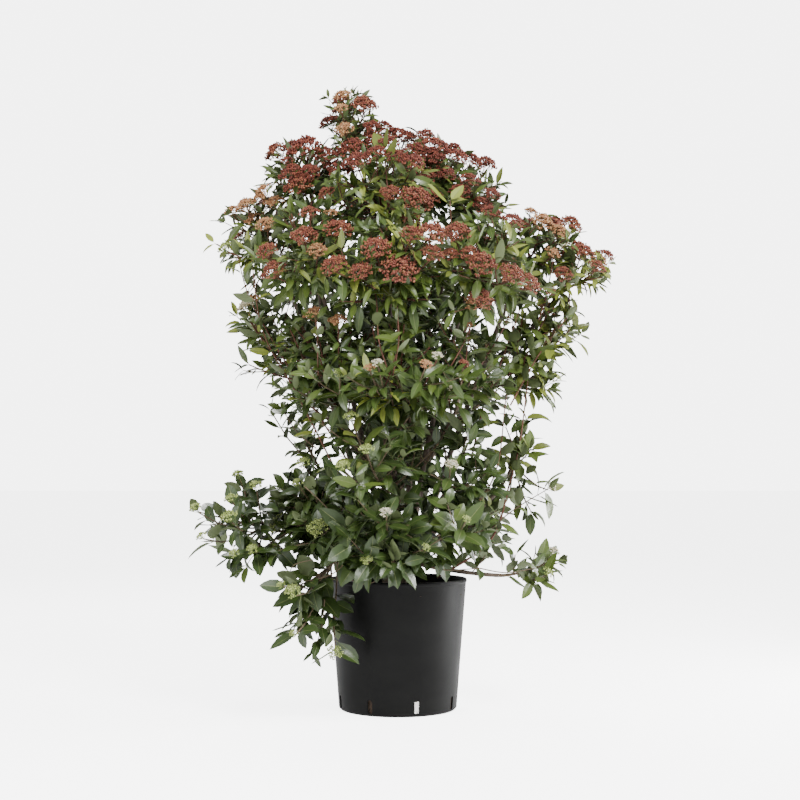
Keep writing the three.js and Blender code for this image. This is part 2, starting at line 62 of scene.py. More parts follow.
# A level direction that no stem follows, from which the sides of a stem are found.
ACROSS = np.array([0.31, 0.95, 0.0])

# The camera stands this far in front of the pot's axis, at this height and a little to its right.
EYE = np.array([5.0, -3500.0, 560.0])
LENS = 67.6
PITCH = 2.5

# The pot and its soil, then the wood: the stool that all stems rise from, the stems and boughs with their
# radii at the root and at the tip, and the spines inside the masses.
POT = dict(height=300, rim=160, foot=136, wall=3, floor=4, corner=5, rim_depth=9, rim_step=1.8)
# pale is the slot whose grains are painted light, standing in for the bright white seen through it.
SLOT = dict(count=8, first=-72, width=12, height=31, lowest=6, bite=14, pale=2)
SOIL_TOP = 272
SEAT_GAP = 0.3
STOOL = dict(radius=37, height=40)
STEM_RING = dict(radius=25, above=14)
STEM = (7.6, 4.6)
BOUGH = (5.4, 4.4)
SPINE = dict(entry=0.86, end=0.34, root=4.2, tip=1.9)

# The tiers of the crown, from its top down. lean is how steeply a spine rises, in degrees. bow bends the
# wood that carries a mass. shoots is how many twigs leave its spine, and lift is how far they sag before
# they turn up. leaf is the mean length of a leaf, wide is how broad it is for its length, and rise is how
# far its tip hangs or stands, at the least and the most. blooms is how many twigs end in a flower head
# where the rule deals them out. light makes the green lighter or darker, as painted light and shade.
TIER_KEYS = ("lean", "bow", "shoots", "lift", "leaf", "wide", "rise", "blooms", "light")
TIERS = {
    "spire": (84, (0.1, 0.5), 9, 0.5, 56, 0.72, (-0.25, 0.35), 4, 0),
    "crest": (72, (0.4, 0.45), 10, 0.5, 64, 0.66, (-0.6, 0.3), 5, -0.12),
    "shoulder": (60, (0.32, 0.5), 10, 0.4, 66, 0.68, (-0.65, 0.3), 5, -0.18),
    "wing": (42, (0.5, 0.2), 7, 0.4, 56, 0.78, (-0.35, 0.2), 3, 0),
    "waist": (52, (0.5, 0.4), 10, 0.2, 64, 0.78, (-0.5, 0.4), 1, -0.16),
    "heart": (80, (0.8, 0.3), 13, 0.3, 66, 0.8, (-0.5, 0.4), 0, 0),
    "loin": (62, (0.7, 0.3), 9, 0.15, 68, 0.86, (-0.4, 0.4), 0, -0.12),
    "skirt": (18, (0.45, 0.8), 9, 0.1, 74, 1.12, (-0.25, 0.4), 2, 0),
}

# What a mass has unless its own row says otherwise. sides is where side twigs leave a twig, and reach is
# how near its outline twigs end, at the least and the most. gap lies between the pairs of leaves on its
# spine. bough marks wood of its own, and bare marks wood that has no leafy twigs.
USUAL = dict(sides=(0.4, 0.66), reach=(0.75, 1.0), gap=20, bough=False, bare=False)

# Each mass of foliage: its name, the turn, reach and height of its centre, its half width and half height,
# where its wood starts, and what it has of its own. Turns are in degrees from +X by way of the back. A mass's
# own light is painted light and shade: lighter on the right, darker on the lower left and at the front.
MASSES = [
    ("spire", (182, 112, 1345), (62, 112), ("stool", 0), dict(leaf=50, reach=(0.45, 0.7))),
    ("crest_right", (14, 76, 1236), (98, 100), ("stool", 20), dict(bow=(0.1, 0.5))),
    ("shoulder_right", (4, 326, 1062), (104, 86), ("stool", 340), dict(bow=(0.42, 0.5), bare=True, shoots=8)),
    ("shoulder_right_front", (310, 280, 1010), (112, 105), ("stool", 300)),
    ("shoulder_front", (266, 290, 985), (118, 105), ("stool", 260)),
    ("shoulder_left_front", (226, 285, 1010), (112, 108), ("stool", 220), dict(shoots=8)),
    ("shoulder_left", (180, 308, 1080), (98, 104), ("stool", 180), dict(bow=(0.4, 0.5), bare=True, shoots=8)),
    ("shoulder_left_back", (132, 300, 1010), (115, 108), ("stool", 140)),
    ("shoulder_back", (88, 300, 985), (120, 110), ("stool", 100)),
    ("shoulder_right_back", (45, 300, 1010), (115, 108), ("stool", 60)),
    ("crest_left", (186, 222, 1232), (84, 84), ("shoulder_left", 0.62), dict(bough=True, blooms=2)),
    ("crest_front", (256, 168, 1160), (104, 100), ("spire", 0.52), dict(bough=True)),
    ("crest_back", (104, 175, 1160), (108, 102), ("crest_right", 0.5), dict(bough=True)),
    ("crest_far_right", (350, 178, 1168), (84, 92), ("crest_right", 0.58),
     dict(bough=True, shoots=8, blooms=1, reach=(0.55, 0.8))),
    ("wing_right", (354, 414, 990), (66, 62), ("shoulder_right", 0.72),
     dict(bough=True, shoots=3, light=0.1, reach=(0.5, 0.75))),
    ("waist_left", (188, 285, 850), (102, 108), ("shoulder_left", 0.5), dict(shoots=6, reach=(0.6, 0.85))),
    ("waist_left_front", (228, 245, 780), (115, 115), ("shoulder_left_front", 0.42)),
    ("waist_front", (270, 240, 770), (115, 118), ("shoulder_front", 0.42)),
    ("waist_right_front", (314, 245, 775), (115, 115), ("shoulder_right_front", 0.42),
     dict(shoots=5, reach=(0.55, 0.8))),
    ("waist_right", (0, 296, 850), (104, 104), ("shoulder_right", 0.52), dict(shoots=5, light=0.15)),
    ("waist_right_back", (46, 255, 775), (118, 118), ("shoulder_right_back", 0.42), dict(shoots=10)),
    ("waist_back", (92, 245, 770), (118, 118), ("shoulder_back", 0.42), dict(shoots=12, reach=(0.75, 1.1))),
    ("waist_left_back", (138, 255, 775), (118, 118), ("shoulder_left_back", 0.42),
     dict(shoots=12, reach=(0.75, 1.1))),
    ("heart_high", (285, 30, 940), (118, 140), ("crest_right", 0.42)),
    ("heart_low", (80, 40, 610), (118, 130), ("spire", 0.12)),
    ("loin_left", (184, 205, 610), (98, 104), ("shoulder_left", 0.22),
     dict(shoots=4, leaf=52, reach=(0.3, 0.45), sides=())),
    ("loin_front", (262, 200, 596), (118, 112), ("shoulder_front", 0.2)),
    ("loin_right_front", (318, 190, 590), (104, 108), ("shoulder_right_front", 0.2),
     dict(shoots=4, reach=(0.55, 0.8))),
    ("loin_right", (358, 272, 590), (82, 104), ("shoulder_right", 0.16),
     dict(bough=True, shoots=3, light=0.15, sides=(), bare=True)),
    ("loin_back", (95, 195, 590), (115, 104), ("shoulder_back", 0.2)),
    ("skirt_left", (186, 346, 428), (122, 86), ("shoulder_left", 0.1),
     dict(bough=True, shoots=5, sides=(), leaf=64, blooms=0, light=-0.35, gap=34)),
    ("skirt_left_front", (218, 246, 252), (84, 104), ("shoulder_left_front", 0.1),
     dict(lean=-50, bow=(0.75, -0.4), shoots=4, sides=(), leaf=74, blooms=0, light=-0.2, reach=(0.5, 0.78))),
    ("skirt_front", (262, 205, 425), (118, 80), ("shoulder_front", 0.08), dict(light=-0.25)),
    ("skirt_right_front", (314, 215, 420), (110, 80), ("shoulder_right_front", 0.08),
     dict(shoots=4, reach=(0.4, 0.6))),
    ("skirt_right", (356, 306, 322), (88, 58), ("shoulder_right", 0.07),
     dict(bough=True, shoots=5, sides=(), leaf=62, wide=0.95, blooms=0, light=0.2, reach=(0.5, 0.85),
          gap=34)),
    ("skirt_right_back", (48, 250, 420), (118, 82), ("shoulder_right_back", 0.08)),
    ("skirt_left_back", (122, 255, 420), (120, 84), ("shoulder_left_back", 0.08)),
    ("skirt_left_inner", (196, 214, 455), (90, 74), ("shoulder_left", 0.13)),
]

# Flower heads that the viewer sees, by colour: how far right of the pot's axis and how high each looks in
# the plane of that axis, and its radius.
BLOOMS = {
    "wine": [
        (-104, 1312, 40), (-36, 1358, 26), (-2, 1342, 34), (36, 1302, 32), (80, 1314, 44), (28, 1272, 34),
        (164, 1284, 34), (-212, 1307, 46), (-255, 1276, 18), (-146, 1261, 36), (105, 1254, 30),
        (145, 1209, 32), (192, 1179, 30), (215, 1200, 24), (261, 1137, 28), (478, 1055, 24),
        (-60, 1330, 32), (-90, 1275, 34), (-170, 1290, 34), (130, 1292, 34), (-7, 1290, 30), (60, 1250, 32),
        (165, 1235, 30), (-245, 1254, 32), (-205, 1252, 30), (-62, 1356, 26), (-22, 1318, 28),
        (22, 1336, 26), (62, 1336, 26), (76, 1290, 34), (-50, 1298, 30), (215, 1158, 26),
    ],
    "rose": [
        (-223, 1226, 40), (35, 1195, 44), (68, 1104, 40), (138, 1109, 36), (-142, 1121, 38),
        (-216, 1102, 34), (-48, 1074, 38), (0, 1034, 48), (-83, 1023, 30), (-142, 1039, 34),
        (192, 1039, 36), (257, 1016, 34), (296, 999, 32), (-298, 1067, 28), (-281, 1023, 32),
        (424, 1062, 32), (383, 1011, 26), (459, 1032, 26), (-81, 1410, 32), (394, 1128, 32),
        (-18, 1204, 28), (76, 1204, 32), (-158, 1202, 24), (-205, 1156, 26), (28, 1142, 28), (28, 1108, 28),
        (75, 1062, 28), (122, 1060, 24), (168, 1062, 28), (192, 958, 32), (152, 799, 14),
    ],
    "tan": [
        (-128, 1435, 26), (-130, 1400, 20), (-122, 1352, 26), (-303, 1208, 32), (-285, 1180, 30),
        (-351, 1174, 28), (-384, 1160, 22), (-305, 1128, 28), (331, 1132, 32), (371, 1112, 28),
        (-193, 916, 26), (-139, 904, 25), (-188, 1067, 24), (-65, 792, 14), (63, 799, 17), (-158, 1155, 20),
        (308, 1156, 20), (355, 1062, 22), (355, 972, 18), (168, 946, 20), (168, 888, 14),
    ],
    "green": [
        (-368, 540, 17), (-328, 515, 20), (-384, 487, 18), (-463, 464, 18), (-386, 445, 22),
        (-451, 401, 15), (-375, 361, 15), (-335, 370, 16), (-216, 571, 20), (-228, 524, 18),
        (-181, 424, 28), (-237, 275, 22), (-267, 289, 13), (-237, 177, 12), (-144, 142, 20), (-72, 347, 15),
        (63, 375, 12), (157, 438, 12), (-123, 562, 20), (-72, 603, 19), (-107, 676, 19), (-398, 1074, 20),
        (343, 317, 16), (-135, 778, 16),
    ],
    "cream": [
        (-349, 934, 24), (122, 566, 18), (348, 515, 16), (358, 363, 16), (-27, 457, 16), (-107, 904, 14),
        (-46, 803, 15), (91, 818, 15), (122, 743, 12),
    ],
}
SEEN_HEAD_GROWTH = 1.08

# Leafy twigs that the viewer sees: between the heads, down both sides, over the rim and among the lower
# leaves.
SEEN_TWIGS = [
    (-157, 1155), (-204, 1155), (-157, 1202), (75, 1155), (75, 1195), (-250, 1150), (401, 922), (401, 876),
    (354, 969), (354, 736), (308, 969), (308, 829), (354, 829), (308, 736), (168, 876), (-111, 876),
    (261, 503), (-150, 358), (-105, 350), (-60, 352), (-15, 345), (30, 340), (75, 348), (-205, 372),
    (-190, 480), (-150, 520), (121, 922), (308, 596), (-111, 922), (-297, 689), (-297, 922), (-251, 876),
    (-344, 969), (-251, 358), (-285, 372), (75, 503), (354, 922), (-150, 905), (-60, 885), (15, 890),
    (90, 900), (-100, 940), (40, 945), (214, 503), (214, 549), (308, 456),
]

# Twigs of young, bright leaves that the viewer sees, and how much lighter they are.
BRIGHT_TWIGS = [
    (18, 1142), (36, 1104), (-350, 1062), (-345, 900), (345, 738), (388, 905), (-120, 1010), (262, 1080),
    (-20, 760),
]
BRIGHTER = 0.5

# Long shoots that stand clear of the masses: points as the viewer sees them, how far in front of the axis
# each shoot stands, the radius at its root, the length of its leaves and the gap between their pairs. A
# shoot without leaves is a bare wiry one.
LONG_SHOOTS = [
    ([(90, 300), (215, 387), (262, 527), (285, 620), (303, 760), (308, 830)], -60, 3.0, 74, 52),
    ([(150, 480), (203, 713), (226, 760), (285, 923)], -110, 2.6, 66, 50),
    ([(120, 420), (190, 480), (232, 560), (250, 700), (262, 790)], -90, 2.4, 64, 50),
    ([(-110, 560), (-251, 783), (-344, 946), (-375, 1051)], -150, 2.2, 52, 46),
    ([(-120, 500), (-228, 713), (-316, 876), (-344, 1062)], -190, 2.2, 52, 50),
    ([(180, 380), (262, 452), (348, 505)], -70, 2.2, 62, 40),
    ([(60, 330), (110, 318), (190, 322)], -150, 1.8, 0, 0),
    ([(190, 322), (250, 312), (318, 322)], -150, 1.6, 58, 44),
    ([(-200, 440), (-262, 402), (-330, 356), (-352, 326)], -100, 1.6, 62, 34),
    ([(-160, 385), (-230, 376), (-298, 356)], -150, 1.6, 62, 34),
    ([(-170, 250), (-176, 190), (-194, 130)], -200, 1.4, 50, 30),
    ([(-14, 1050), (-22, 1180), (-32, 1296)], -262, 2.4, 80, 46),
    ([(-208, 1110), (-204, 1170), (-186, 1240)], -125, 2.2, 70, 46),
    ([(-160, 1080), (-156, 1140), (-144, 1206)], -165, 2.0, 70, 46),
    ([(118, 1010), (126, 1090), (122, 1180)], -250, 2.2, 72, 46),
    ([(330, 900), (352, 980), (372, 1090)], -90, 2.0, 56, 40),
    ([(-18, 770), (-44, 850), (-50, 946), (-66, 1020)], -346, 1.8, 58, 36),
    ([(-12, 770), (2, 850), (0, 946), (24, 1030)], -350, 1.6, 58, 38),
    ([(115, 778), (157, 853), (187, 946)], -300, 1.6, 60, 40),
    ([(168, 760), (238, 864), (285, 969), (308, 1004)], -200, 1.8, 58, 44),
    ([(-186, 770), (-188, 850), (-190, 900)], -300, 1.4, 56, 44),
    ([(262, 700), (330, 820), (395, 905)], -90, 2.0, 58, 34),
    ([(-190, 600), (-236, 640), (-268, 690)], -120, 1.6, 56, 34),
    ([(-217, 512), (-150, 445), (-105, 360)], -235, 1.4, 0, 0),
    ([(-115, 345), (-150, 310), (-215, 292), (-248, 306), (-240, 330), (-196, 342)], -215, 1.3, 0, 0),
    ([(-20, 332), (-45, 296), (-88, 285), (-112, 305), (-95, 330)], -205, 1.2, 0, 0),
]


def lerp(a, b, share):
    return a + (b - a) * share


def unit(vector):
    return vector / np.linalg.norm(vector)


def polar(turn, reach, height):
    angle = math.radians(turn)
    return np.array([reach * math.cos(angle), reach * math.sin(angle), height])


class Bow:
    """A bowed path: a quadratic curve through its start and end, drawn towards a middle point."""

    def __init__(self, start, middle, end):
        self.start, self.middle, self.end = (np.asarray(p, float) for p in (start, middle, end))

    def point(self, share):
        rest = 1 - share
        return self.start * rest * rest + self.middle * 2 * rest * share + self.end * share * share

    def tangent(self, share):
        return unit((self.middle - self.start) * (1 - share) + (self.end - self.middle) * share)

    def length(self):
        points = [self.point(i / 8) for i in range(9)]
        return sum(np.linalg.norm(b - a) for a, b in zip(points, points[1:]))

    def path(self, root_radius, tip_radius, steps):
        return [(self.point(i / steps), lerp(root_radius, tip_radius, i / steps)) for i in range(steps + 1)]


def bowed(start, end, bow):
    out, up = bow
    return Bow(start, [lerp(a, b, share) for a, b, share in zip(start, end, (out, out, up))], end)


def sagging(start, end, share, drop):
    """A path that sags by a drop at this share of its length."""
    return Bow(start, lerp(start, end, share) - UP * drop, end)


class Mass:
    """One mass of foliage: the egg-shaped space that it fills, and the wood that carries it."""

    def __init__(self, index, name, middle, size, root, own=()):
        self.index, self.name, self.root = index, name, root
        self.tier = {**USUAL, **dict(zip(TIER_KEYS, TIERS[name.split("_")[0]])), **dict(own)}
        self.centre = polar(*middle)
        self.extent = np.array([size[0], size[0], size[1]], float)
        lean = math.radians(self.tier["lean"])
        self.axis = polar(middle[0], math.cos(lean), math.sin(lean))
        parent, place = root
        if parent == "stool":
            ring = 0 if name == "spire" else STEM_RING["radius"]
            start = polar(place, ring, SOIL_TOP + SEAT_GAP + STEM_RING["above"])
        else:
            start = masses[parent].limb.point(place)
        entry, apex = self.at(self.axis, -SPINE["entry"]), self.at(self.axis, SPINE["end"])
        self.own_limb = parent == "stool" or self.tier["bough"]
        if self.own_limb:
            self.limb = bowed(start, entry, self.tier["bow"])
            self.spine = Bow(entry, entry + self.limb.tangent(1) * self.extent[2] / 2, apex)
        else:
            self.spine = bowed(start, apex, self.tier["bow"])

    def at(self, direction, share):
        return self.centre + self.extent * direction * share

    def depth(self, point):
        """How far out a point lies: 0 at the centre and 1 on the outline."""
        return np.linalg.norm((point - self.centre) / self.extent)


masses = {}
for index, row in enumerate(MASSES):
    masses[row[0]] = Mass(index, *row)


def linked(name, data):
    """A new object in the scene."""
    thing = bpy.data.objects.new(name, data)
    bpy.context.collection.objects.link(thing)
    return thing


# Node trees: materials, geometry nodes and the studio's walls.
class Value:
    """A socket of a node tree. Sums, products and other maths on it add their own nodes."""

    def __init__(self, nodes, socket):
        self.nodes, self.socket = nodes, socket

    def maths(self, operation, *values):
        return self.nodes.node("ShaderNodeMath", dict(enumerate(values)), operation=operation)

    def __add__(self, other):
        return self.maths("ADD", self, other)

    def __sub__(self, other):
        return self.maths("SUBTRACT", self, other)

    def __rsub__(self, other):
        return self.maths("SUBTRACT", other, self)

    def __mul__(self, other):
        return self.maths("MULTIPLY", self, other)

    __radd__ = __add__
    __rmul__ = __mul__

    def clamped(self):
        return self.nodes.node("ShaderNodeClamp", {"Value": self})


class Nodes:
    """A node tree, whose nodes are joined as they are added."""

    def __init__(self, tree):
        self.tree = tree

    def set(self, node, key, value):
        if isinstance(value, Value):
            self.tree.links.new(value.socket, node.inputs[key])
        else:
            node.inputs[key].default_value = value

    def node(self, kind, values=(), output=0, **settings):
        """Adds a node, its settings first, then the values or links of its sockets. Gives one output."""
        node = self.tree.nodes.new(kind)
        for key, value in settings.items():
            setattr(node, key, value)
        for key, value in dict(values).items():
            self.set(node, key, value)
        return Value(self, node.outputs[output])


class Finish(Nodes):
    """A named material, built around one principled shader."""

    def __init__(self, name, base, roughness):
        self.material = bpy.data.materials.new(name)
        self.material.use_nodes = True
        super().__init__(self.material.node_tree)
        self.feed("Base Color", (*base, 1))
        self.feed("Roughness", roughness)
        self.place = self.node("ShaderNodeTexCoord", output="Object")

    def feed(self, socket, value):
        self.set(self.tree.nodes["Principled BSDF"], socket, value)

    def noise(self, scale, detail=2, height_scale=None):
        """A cloudy pattern, which may be squeezed or stretched along the height."""
        where = self.place
        if height_scale:
            where = self.node("ShaderNodeMapping", {"Vector": where, "Scale": (1, 1, height_scale)})
        return self.node("ShaderNodeTexNoise", {"Vector": where, "Scale": scale, "Detail": detail}, "Fac")

    def blend(self, socket, share, a, b):
        """Feeds a socket with two colours, mixed by a share."""
        colours = {"Factor": share, 6: (*a, 1), 7: (*b, 1)}
        self.feed(socket, self.node("ShaderNodeMix", colours, 2, data_type="RGBA"))

    def bump(self, height, strength, distance):
        values = {"Height": height, "Strength": strength, "Distance": distance}
        self.feed("Normal", self.node("ShaderNodeBump", values, "Normal"))


def leaf_finish(name, base, roughness):
    """A leaf blade: one plain green, a waxy surface that is a little uneven, and shallow quilting."""
    finish = Finish(name, base, roughness)
    finish.feed("Specular IOR Level", 0.44)
    finish.feed("Roughness", finish.noise(60) * 0.24 + (roughness - 0.12))
    finish.bump(finish.noise(170), 0.25, 0.0015)
    return finish.material


def plain_finish(name, base, roughness):
    finish = Finish(name, base, roughness)
    finish.bump(finish.noise(300), 0.4, 0.0006)
    return finish.material


# The colours of the leaves, each with its roughness, and those of the heads: bud, pale bud and ray.
GREENS = {
    "deep": ((0.025, 0.045, 0.009), 0.34),
    "dark": ((0.040, 0.066, 0.013), 0.34),
    "mid": ((0.061, 0.091, 0.015), 0.37),
    "olive": ((0.100, 0.122, 0.020), 0.40),
    "young": ((0.185, 0.220, 0.034), 0.44),
}
UNDERSIDE = (0.080, 0.104, 0.038)
RIB = (0.105, 0.125, 0.038)
BUDS = {
    "wine": ((0.096, 0.014, 0.006), (0.180, 0.042, 0.019), (0.095, 0.030, 0.012)),
    "rose": ((0.128, 0.025, 0.011), (0.225, 0.074, 0.032), (0.115, 0.038, 0.014)),
    "tan": ((0.290, 0.128, 0.054), (0.440, 0.250, 0.112), (0.165, 0.080, 0.033)),
    "green": ((0.190, 0.240, 0.055), (0.370, 0.430, 0.140), (0.100, 0.140, 0.032)),
    "cream": ((0.420, 0.370, 0.230), (0.700, 0.680, 0.560), (0.150, 0.170, 0.060)),
}


def bark_finish(name, dark, light):
    """Thin fissured bark: long grain along the stem, with raised spots."""
    finish = Finish(name, dark, 0.8)
    grain = finish.noise(90, 5, 0.18)
    spots = (finish.noise(420, 1) - 0.62).clamped() * 6
    finish.blend("Base Color", (grain * 1.3 - 0.15).clamped(), dark, light)
    finish.bump(grain + spots.clamped() * 0.4, 0.6, 0.0012)
    return finish.material


def pot_finish():
    """Moulded black plastic, half matt, with faint scuffs, streaks and dust."""
    base, dust = (0.003, 0.003, 0.003), (0.0075, 0.0075, 0.007)
    finish = Finish("pot plastic", base, 0.4)
    finish.feed("Specular IOR Level", 0.11)
    scuffs = finish.noise(7, 5, 2.4)
    streaks = finish.noise(40, 3, 0.12)
    finish.blend("Base Color", (scuffs * 1.6 - 0.5).clamped(), base, dust)
    finish.feed("Roughness", (scuffs * 0.16 + streaks * 0.08 + 0.30).clamped())
    finish.bump(finish.noise(900) + finish.noise(30) * 0.5, 0.25, 0.0005)
    return finish.material


def soil_finish():
    finish = Finish("potting soil", (0.03, 0.02, 0.012), 0.95)
    clods = finish.noise(150, 6)
    finish.blend("Base Color", (clods * 1.8 - 0.5).clamped(), (0.012, 0.008, 0.005), (0.075, 0.045, 0.026))
    finish.bump(clods, 0.9, 0.006)
    return finish.material


class Tree(Nodes):
    """A geometry node group with named inputs."""

    def __init__(self, name, inputs):
        super().__init__(bpy.data.node_groups.new(name, "GeometryNodeTree"))
        sockets = self.tree.interface
        self.names = {}
        for label, kind in {"Geometry": "Geometry", **inputs}.items():
            socket = sockets.new_socket(label, in_out="INPUT", socket_type="NodeSocket" + kind)
            self.names[label] = socket.identifier
        sockets.new_socket("Geometry", in_out="OUTPUT", socket_type="NodeSocketGeometry")
        self.enter = self.tree.nodes.new("NodeGroupInput")
        self.leave = self.tree.nodes.new("NodeGroupOutput")

    def given(self, label):
        return Value(self, self.enter.outputs[label])

    def attribute(self, name, kind):
        return self.node("GeometryNodeInputNamedAttribute", {"Name": name}, data_type=kind)

    def finish(self, geometry):
        self.set(self.leave, "Geometry", geometry)

    def run(self, name, data, values):
        """Runs the tree on a curve or mesh with these inputs, and gives a plain mesh object in its place."""
        source = linked(name, data)
        modifier = source.modifiers.new(name, "NODES")
        modifier.node_group = self.tree
        for label, value in values.items():
            modifier[self.names[label]] = value
        bpy.context.view_layer.update()
        view = source.evaluated_get(bpy.context.evaluated_depsgraph_get())
        mesh = bpy.data.meshes.new_from_object(view)
        source.modifiers.remove(modifier)
        bpy.data.objects.remove(source)
        mesh.name = name
        return linked(name, mesh)


def tube_tree():
    """Round stems along paths, each point with its own radius, and a surface relief like bark."""
    tree = Tree("stems along paths", {
        "Sides": "Int", "Relief": "Float", "Grain": "Float", "Material": "Material",
    })
    ring = tree.node("GeometryNodeCurvePrimitiveCircle", {"Resolution": tree.given("Sides"), "Radius": 1.0})
    tubes = tree.node("GeometryNodeCurveToMesh", {
        "Curve": tree.given("Geometry"), "Profile Curve": ring, "Fill Caps": True,
        "Scale": tree.node("GeometryNodeInputRadius"),
    })
    position, normal = tree.node("GeometryNodeInputPosition"), tree.node("GeometryNodeInputNormal")
    squeezed = tree.node("ShaderNodeVectorMath", {0: position, 1: (1, 1, 0.16)}, operation="MULTIPLY")
    noise = tree.node("ShaderNodeTexNoise", {"Vector": squeezed, "Scale": tree.given("Grain"), "Detail": 3.0})
    height = (noise - 0.5) * tree.given("Relief")
    offset = tree.node("ShaderNodeVectorMath", {0: normal, "Scale": height}, operation="SCALE")
    moved = tree.node("GeometryNodeSetPosition", {"Geometry": tubes, "Offset": offset})
    smooth = tree.node("GeometryNodeSetShadeSmooth", {"Geometry": moved})
    real = tree.node("GeometryNodeRealizeInstances", {"Geometry": smooth})
    tree.finish(tree.node("GeometryNodeSetMaterial", {"Geometry": real, "Material": tree.given("Material")}))
    return tree


PART_NAMES = ("First", "Second", "Third")


def scatter_tree():
    """Copies of small shapes, one at each point, turned and sized by it, with a finish for each part."""
    tree = Tree("shapes at points", {"Shapes": "Collection", **dict.fromkeys(PART_NAMES, "Material")})
    shapes = tree.node("GeometryNodeCollectionInfo", {
        "Collection": tree.given("Shapes"), "Separate Children": True, "Reset Children": True,
    })
    turn = tree.node("FunctionNodeEulerToRotation", {"Euler": tree.attribute("turn", "FLOAT_VECTOR")})
    copies = tree.node("GeometryNodeInstanceOnPoints", {
        "Points": tree.given("Geometry"), "Instance": shapes, "Pick Instance": True, "Rotation": turn,
        "Instance Index": tree.attribute("kind", "INT"), "Scale": tree.attribute("size", "FLOAT_VECTOR"),
    })
    geometry = tree.node("GeometryNodeRealizeInstances", {"Geometry": copies})
    part = tree.attribute("part", "INT")
    for number, name in enumerate(PART_NAMES):
        chosen = tree.node("FunctionNodeCompare", {2: part, 3: number}, data_type="INT", operation="EQUAL")
        geometry = tree.node("GeometryNodeSetMaterial", {
            "Geometry": geometry, "Selection": chosen, "Material": tree.given(name),
        })
    tree.finish(geometry)
    return tree


stems_along_paths = tube_tree()
shapes_at_points = scatter_tree()


def tubes(name, paths, sides, material, relief=0.0, grain=120.0):
    """One piece of stems. Each path is a list of points and radii, in millimetres."""
    curve = bpy.data.curves.new(name, "CURVE")
    curve.dimensions = "3D"
    for path in paths:
        spline = curve.splines.new("POLY")
        spline.points.add(len(path) - 1)
        spline.points.foreach_set("co", [v for point, _ in path for v in (*(point * MM), 1.0)])
        spline.points.foreach_set("radius", [radius * MM for _, radius in path])
    values = {"Sides": sides, "Relief": relief * MM, "Grain": grain, "Material": material}
    return stems_along_paths.run(name, curve, values)


def scatter(name, spots, shapes, materials):
    """One piece of small shapes. Each spot is a place, a rotation, a size and the number of its shape."""
    places, turns, sizes, kinds = zip(*spots)
    cloud = bpy.data.meshes.new(name)
    cloud.from_pydata([tuple(place * MM) for place in places], [], [])
    for label, kind, field, values in (
        ("turn", "FLOAT_VECTOR", "vector", [v for turn in turns for v in turn.to_euler()]),
        ("size", "FLOAT_VECTOR", "vector", [v * MM for size in sizes for v in np.broadcast_to(size, 3)]),
        ("kind", "INT", "value", kinds),
    ):
        cloud.attributes.new(label, kind, "POINT").data.foreach_set(field, values)
    finishes = {label: materials[min(i, len(materials) - 1)] for i, label in enumerate(PART_NAMES)}
    return shapes_at_points.run(name, cloud, {"Shapes": shapes, **finishes})


class Shape:
    """A small shape to copy. Its faces are numbered by part."""

    def __init__(self):
        self.corners, self.faces, self.parts = [], [], []

    def add(self, corners, faces, part):
        """Adds corners, and faces that count from the first of them, or from the start if there are none."""
        start = len(self.corners) if len(corners) else 0
        self.corners.extend(corners)
        self.faces.extend(tuple(start + v for v in face) for face in faces)
        self.parts.extend([part] * len(faces))

    def finish(self, collection, name, sharp=()):
        """Puts the shape among those to copy. An edge between two sharp corners stays sharp."""
        mesh = bpy.data.meshes.new(name)
        mesh.from_pydata([tuple(v) for v in self.corners], [], self.faces)
        mesh.polygons.foreach_set("use_smooth", [True] * len(self.faces))
        mesh.attributes.new("part", "INT", "FACE").data.foreach_set("value", self.parts)
        if sharp:
            edges = mesh.attributes.new("sharp_edge", "BOOLEAN", "EDGE")
            edges.data.foreach_set("value", [all(v in sharp for v in edge.vertices) for edge in mesh.edges])
        mesh.update()
        collection.objects.link(bpy.data.objects.new(name, mesh))


# A stalk or ray has three sides.
THIRDS = [FULL_TURN * i / 3 for i in range(3)]
STICK_FACES = [(i, (i + 1) % 3, 3 + (i + 1) % 3, 3 + i) for i in range(3)] + [(2, 1, 0), (3, 4, 5)]

# A leaf is a pointed oval on a short stalk, one unit long. Its margin is drawn at these shares of the
# blade. Each form has its own fold, curl and twist.
LEAF_OUTLINE = [(0.09, 0.50), (0.32, 0.98), (0.60, 0.90), (0.84, 0.48)]
LEAF_COLUMNS = (-1.0, -0.5, -0.04, 0.04, 0.5, 1.0)
RIB_COLUMN = 2
LEAF_WIDTH = 0.21
LEAF_THICKNESS = 0.012
STALK = dict(length=0.12, radius=0.011, sunk=0.06, below=0.008)
LEAF_FORMS = [
    (0.25, 0.12, 0.0), (0.45, 0.20, 0.45), (0.18, 0.26, -0.4), (0.34, -0.06, 0.25), (0.62, 0.32, -0.2),
]


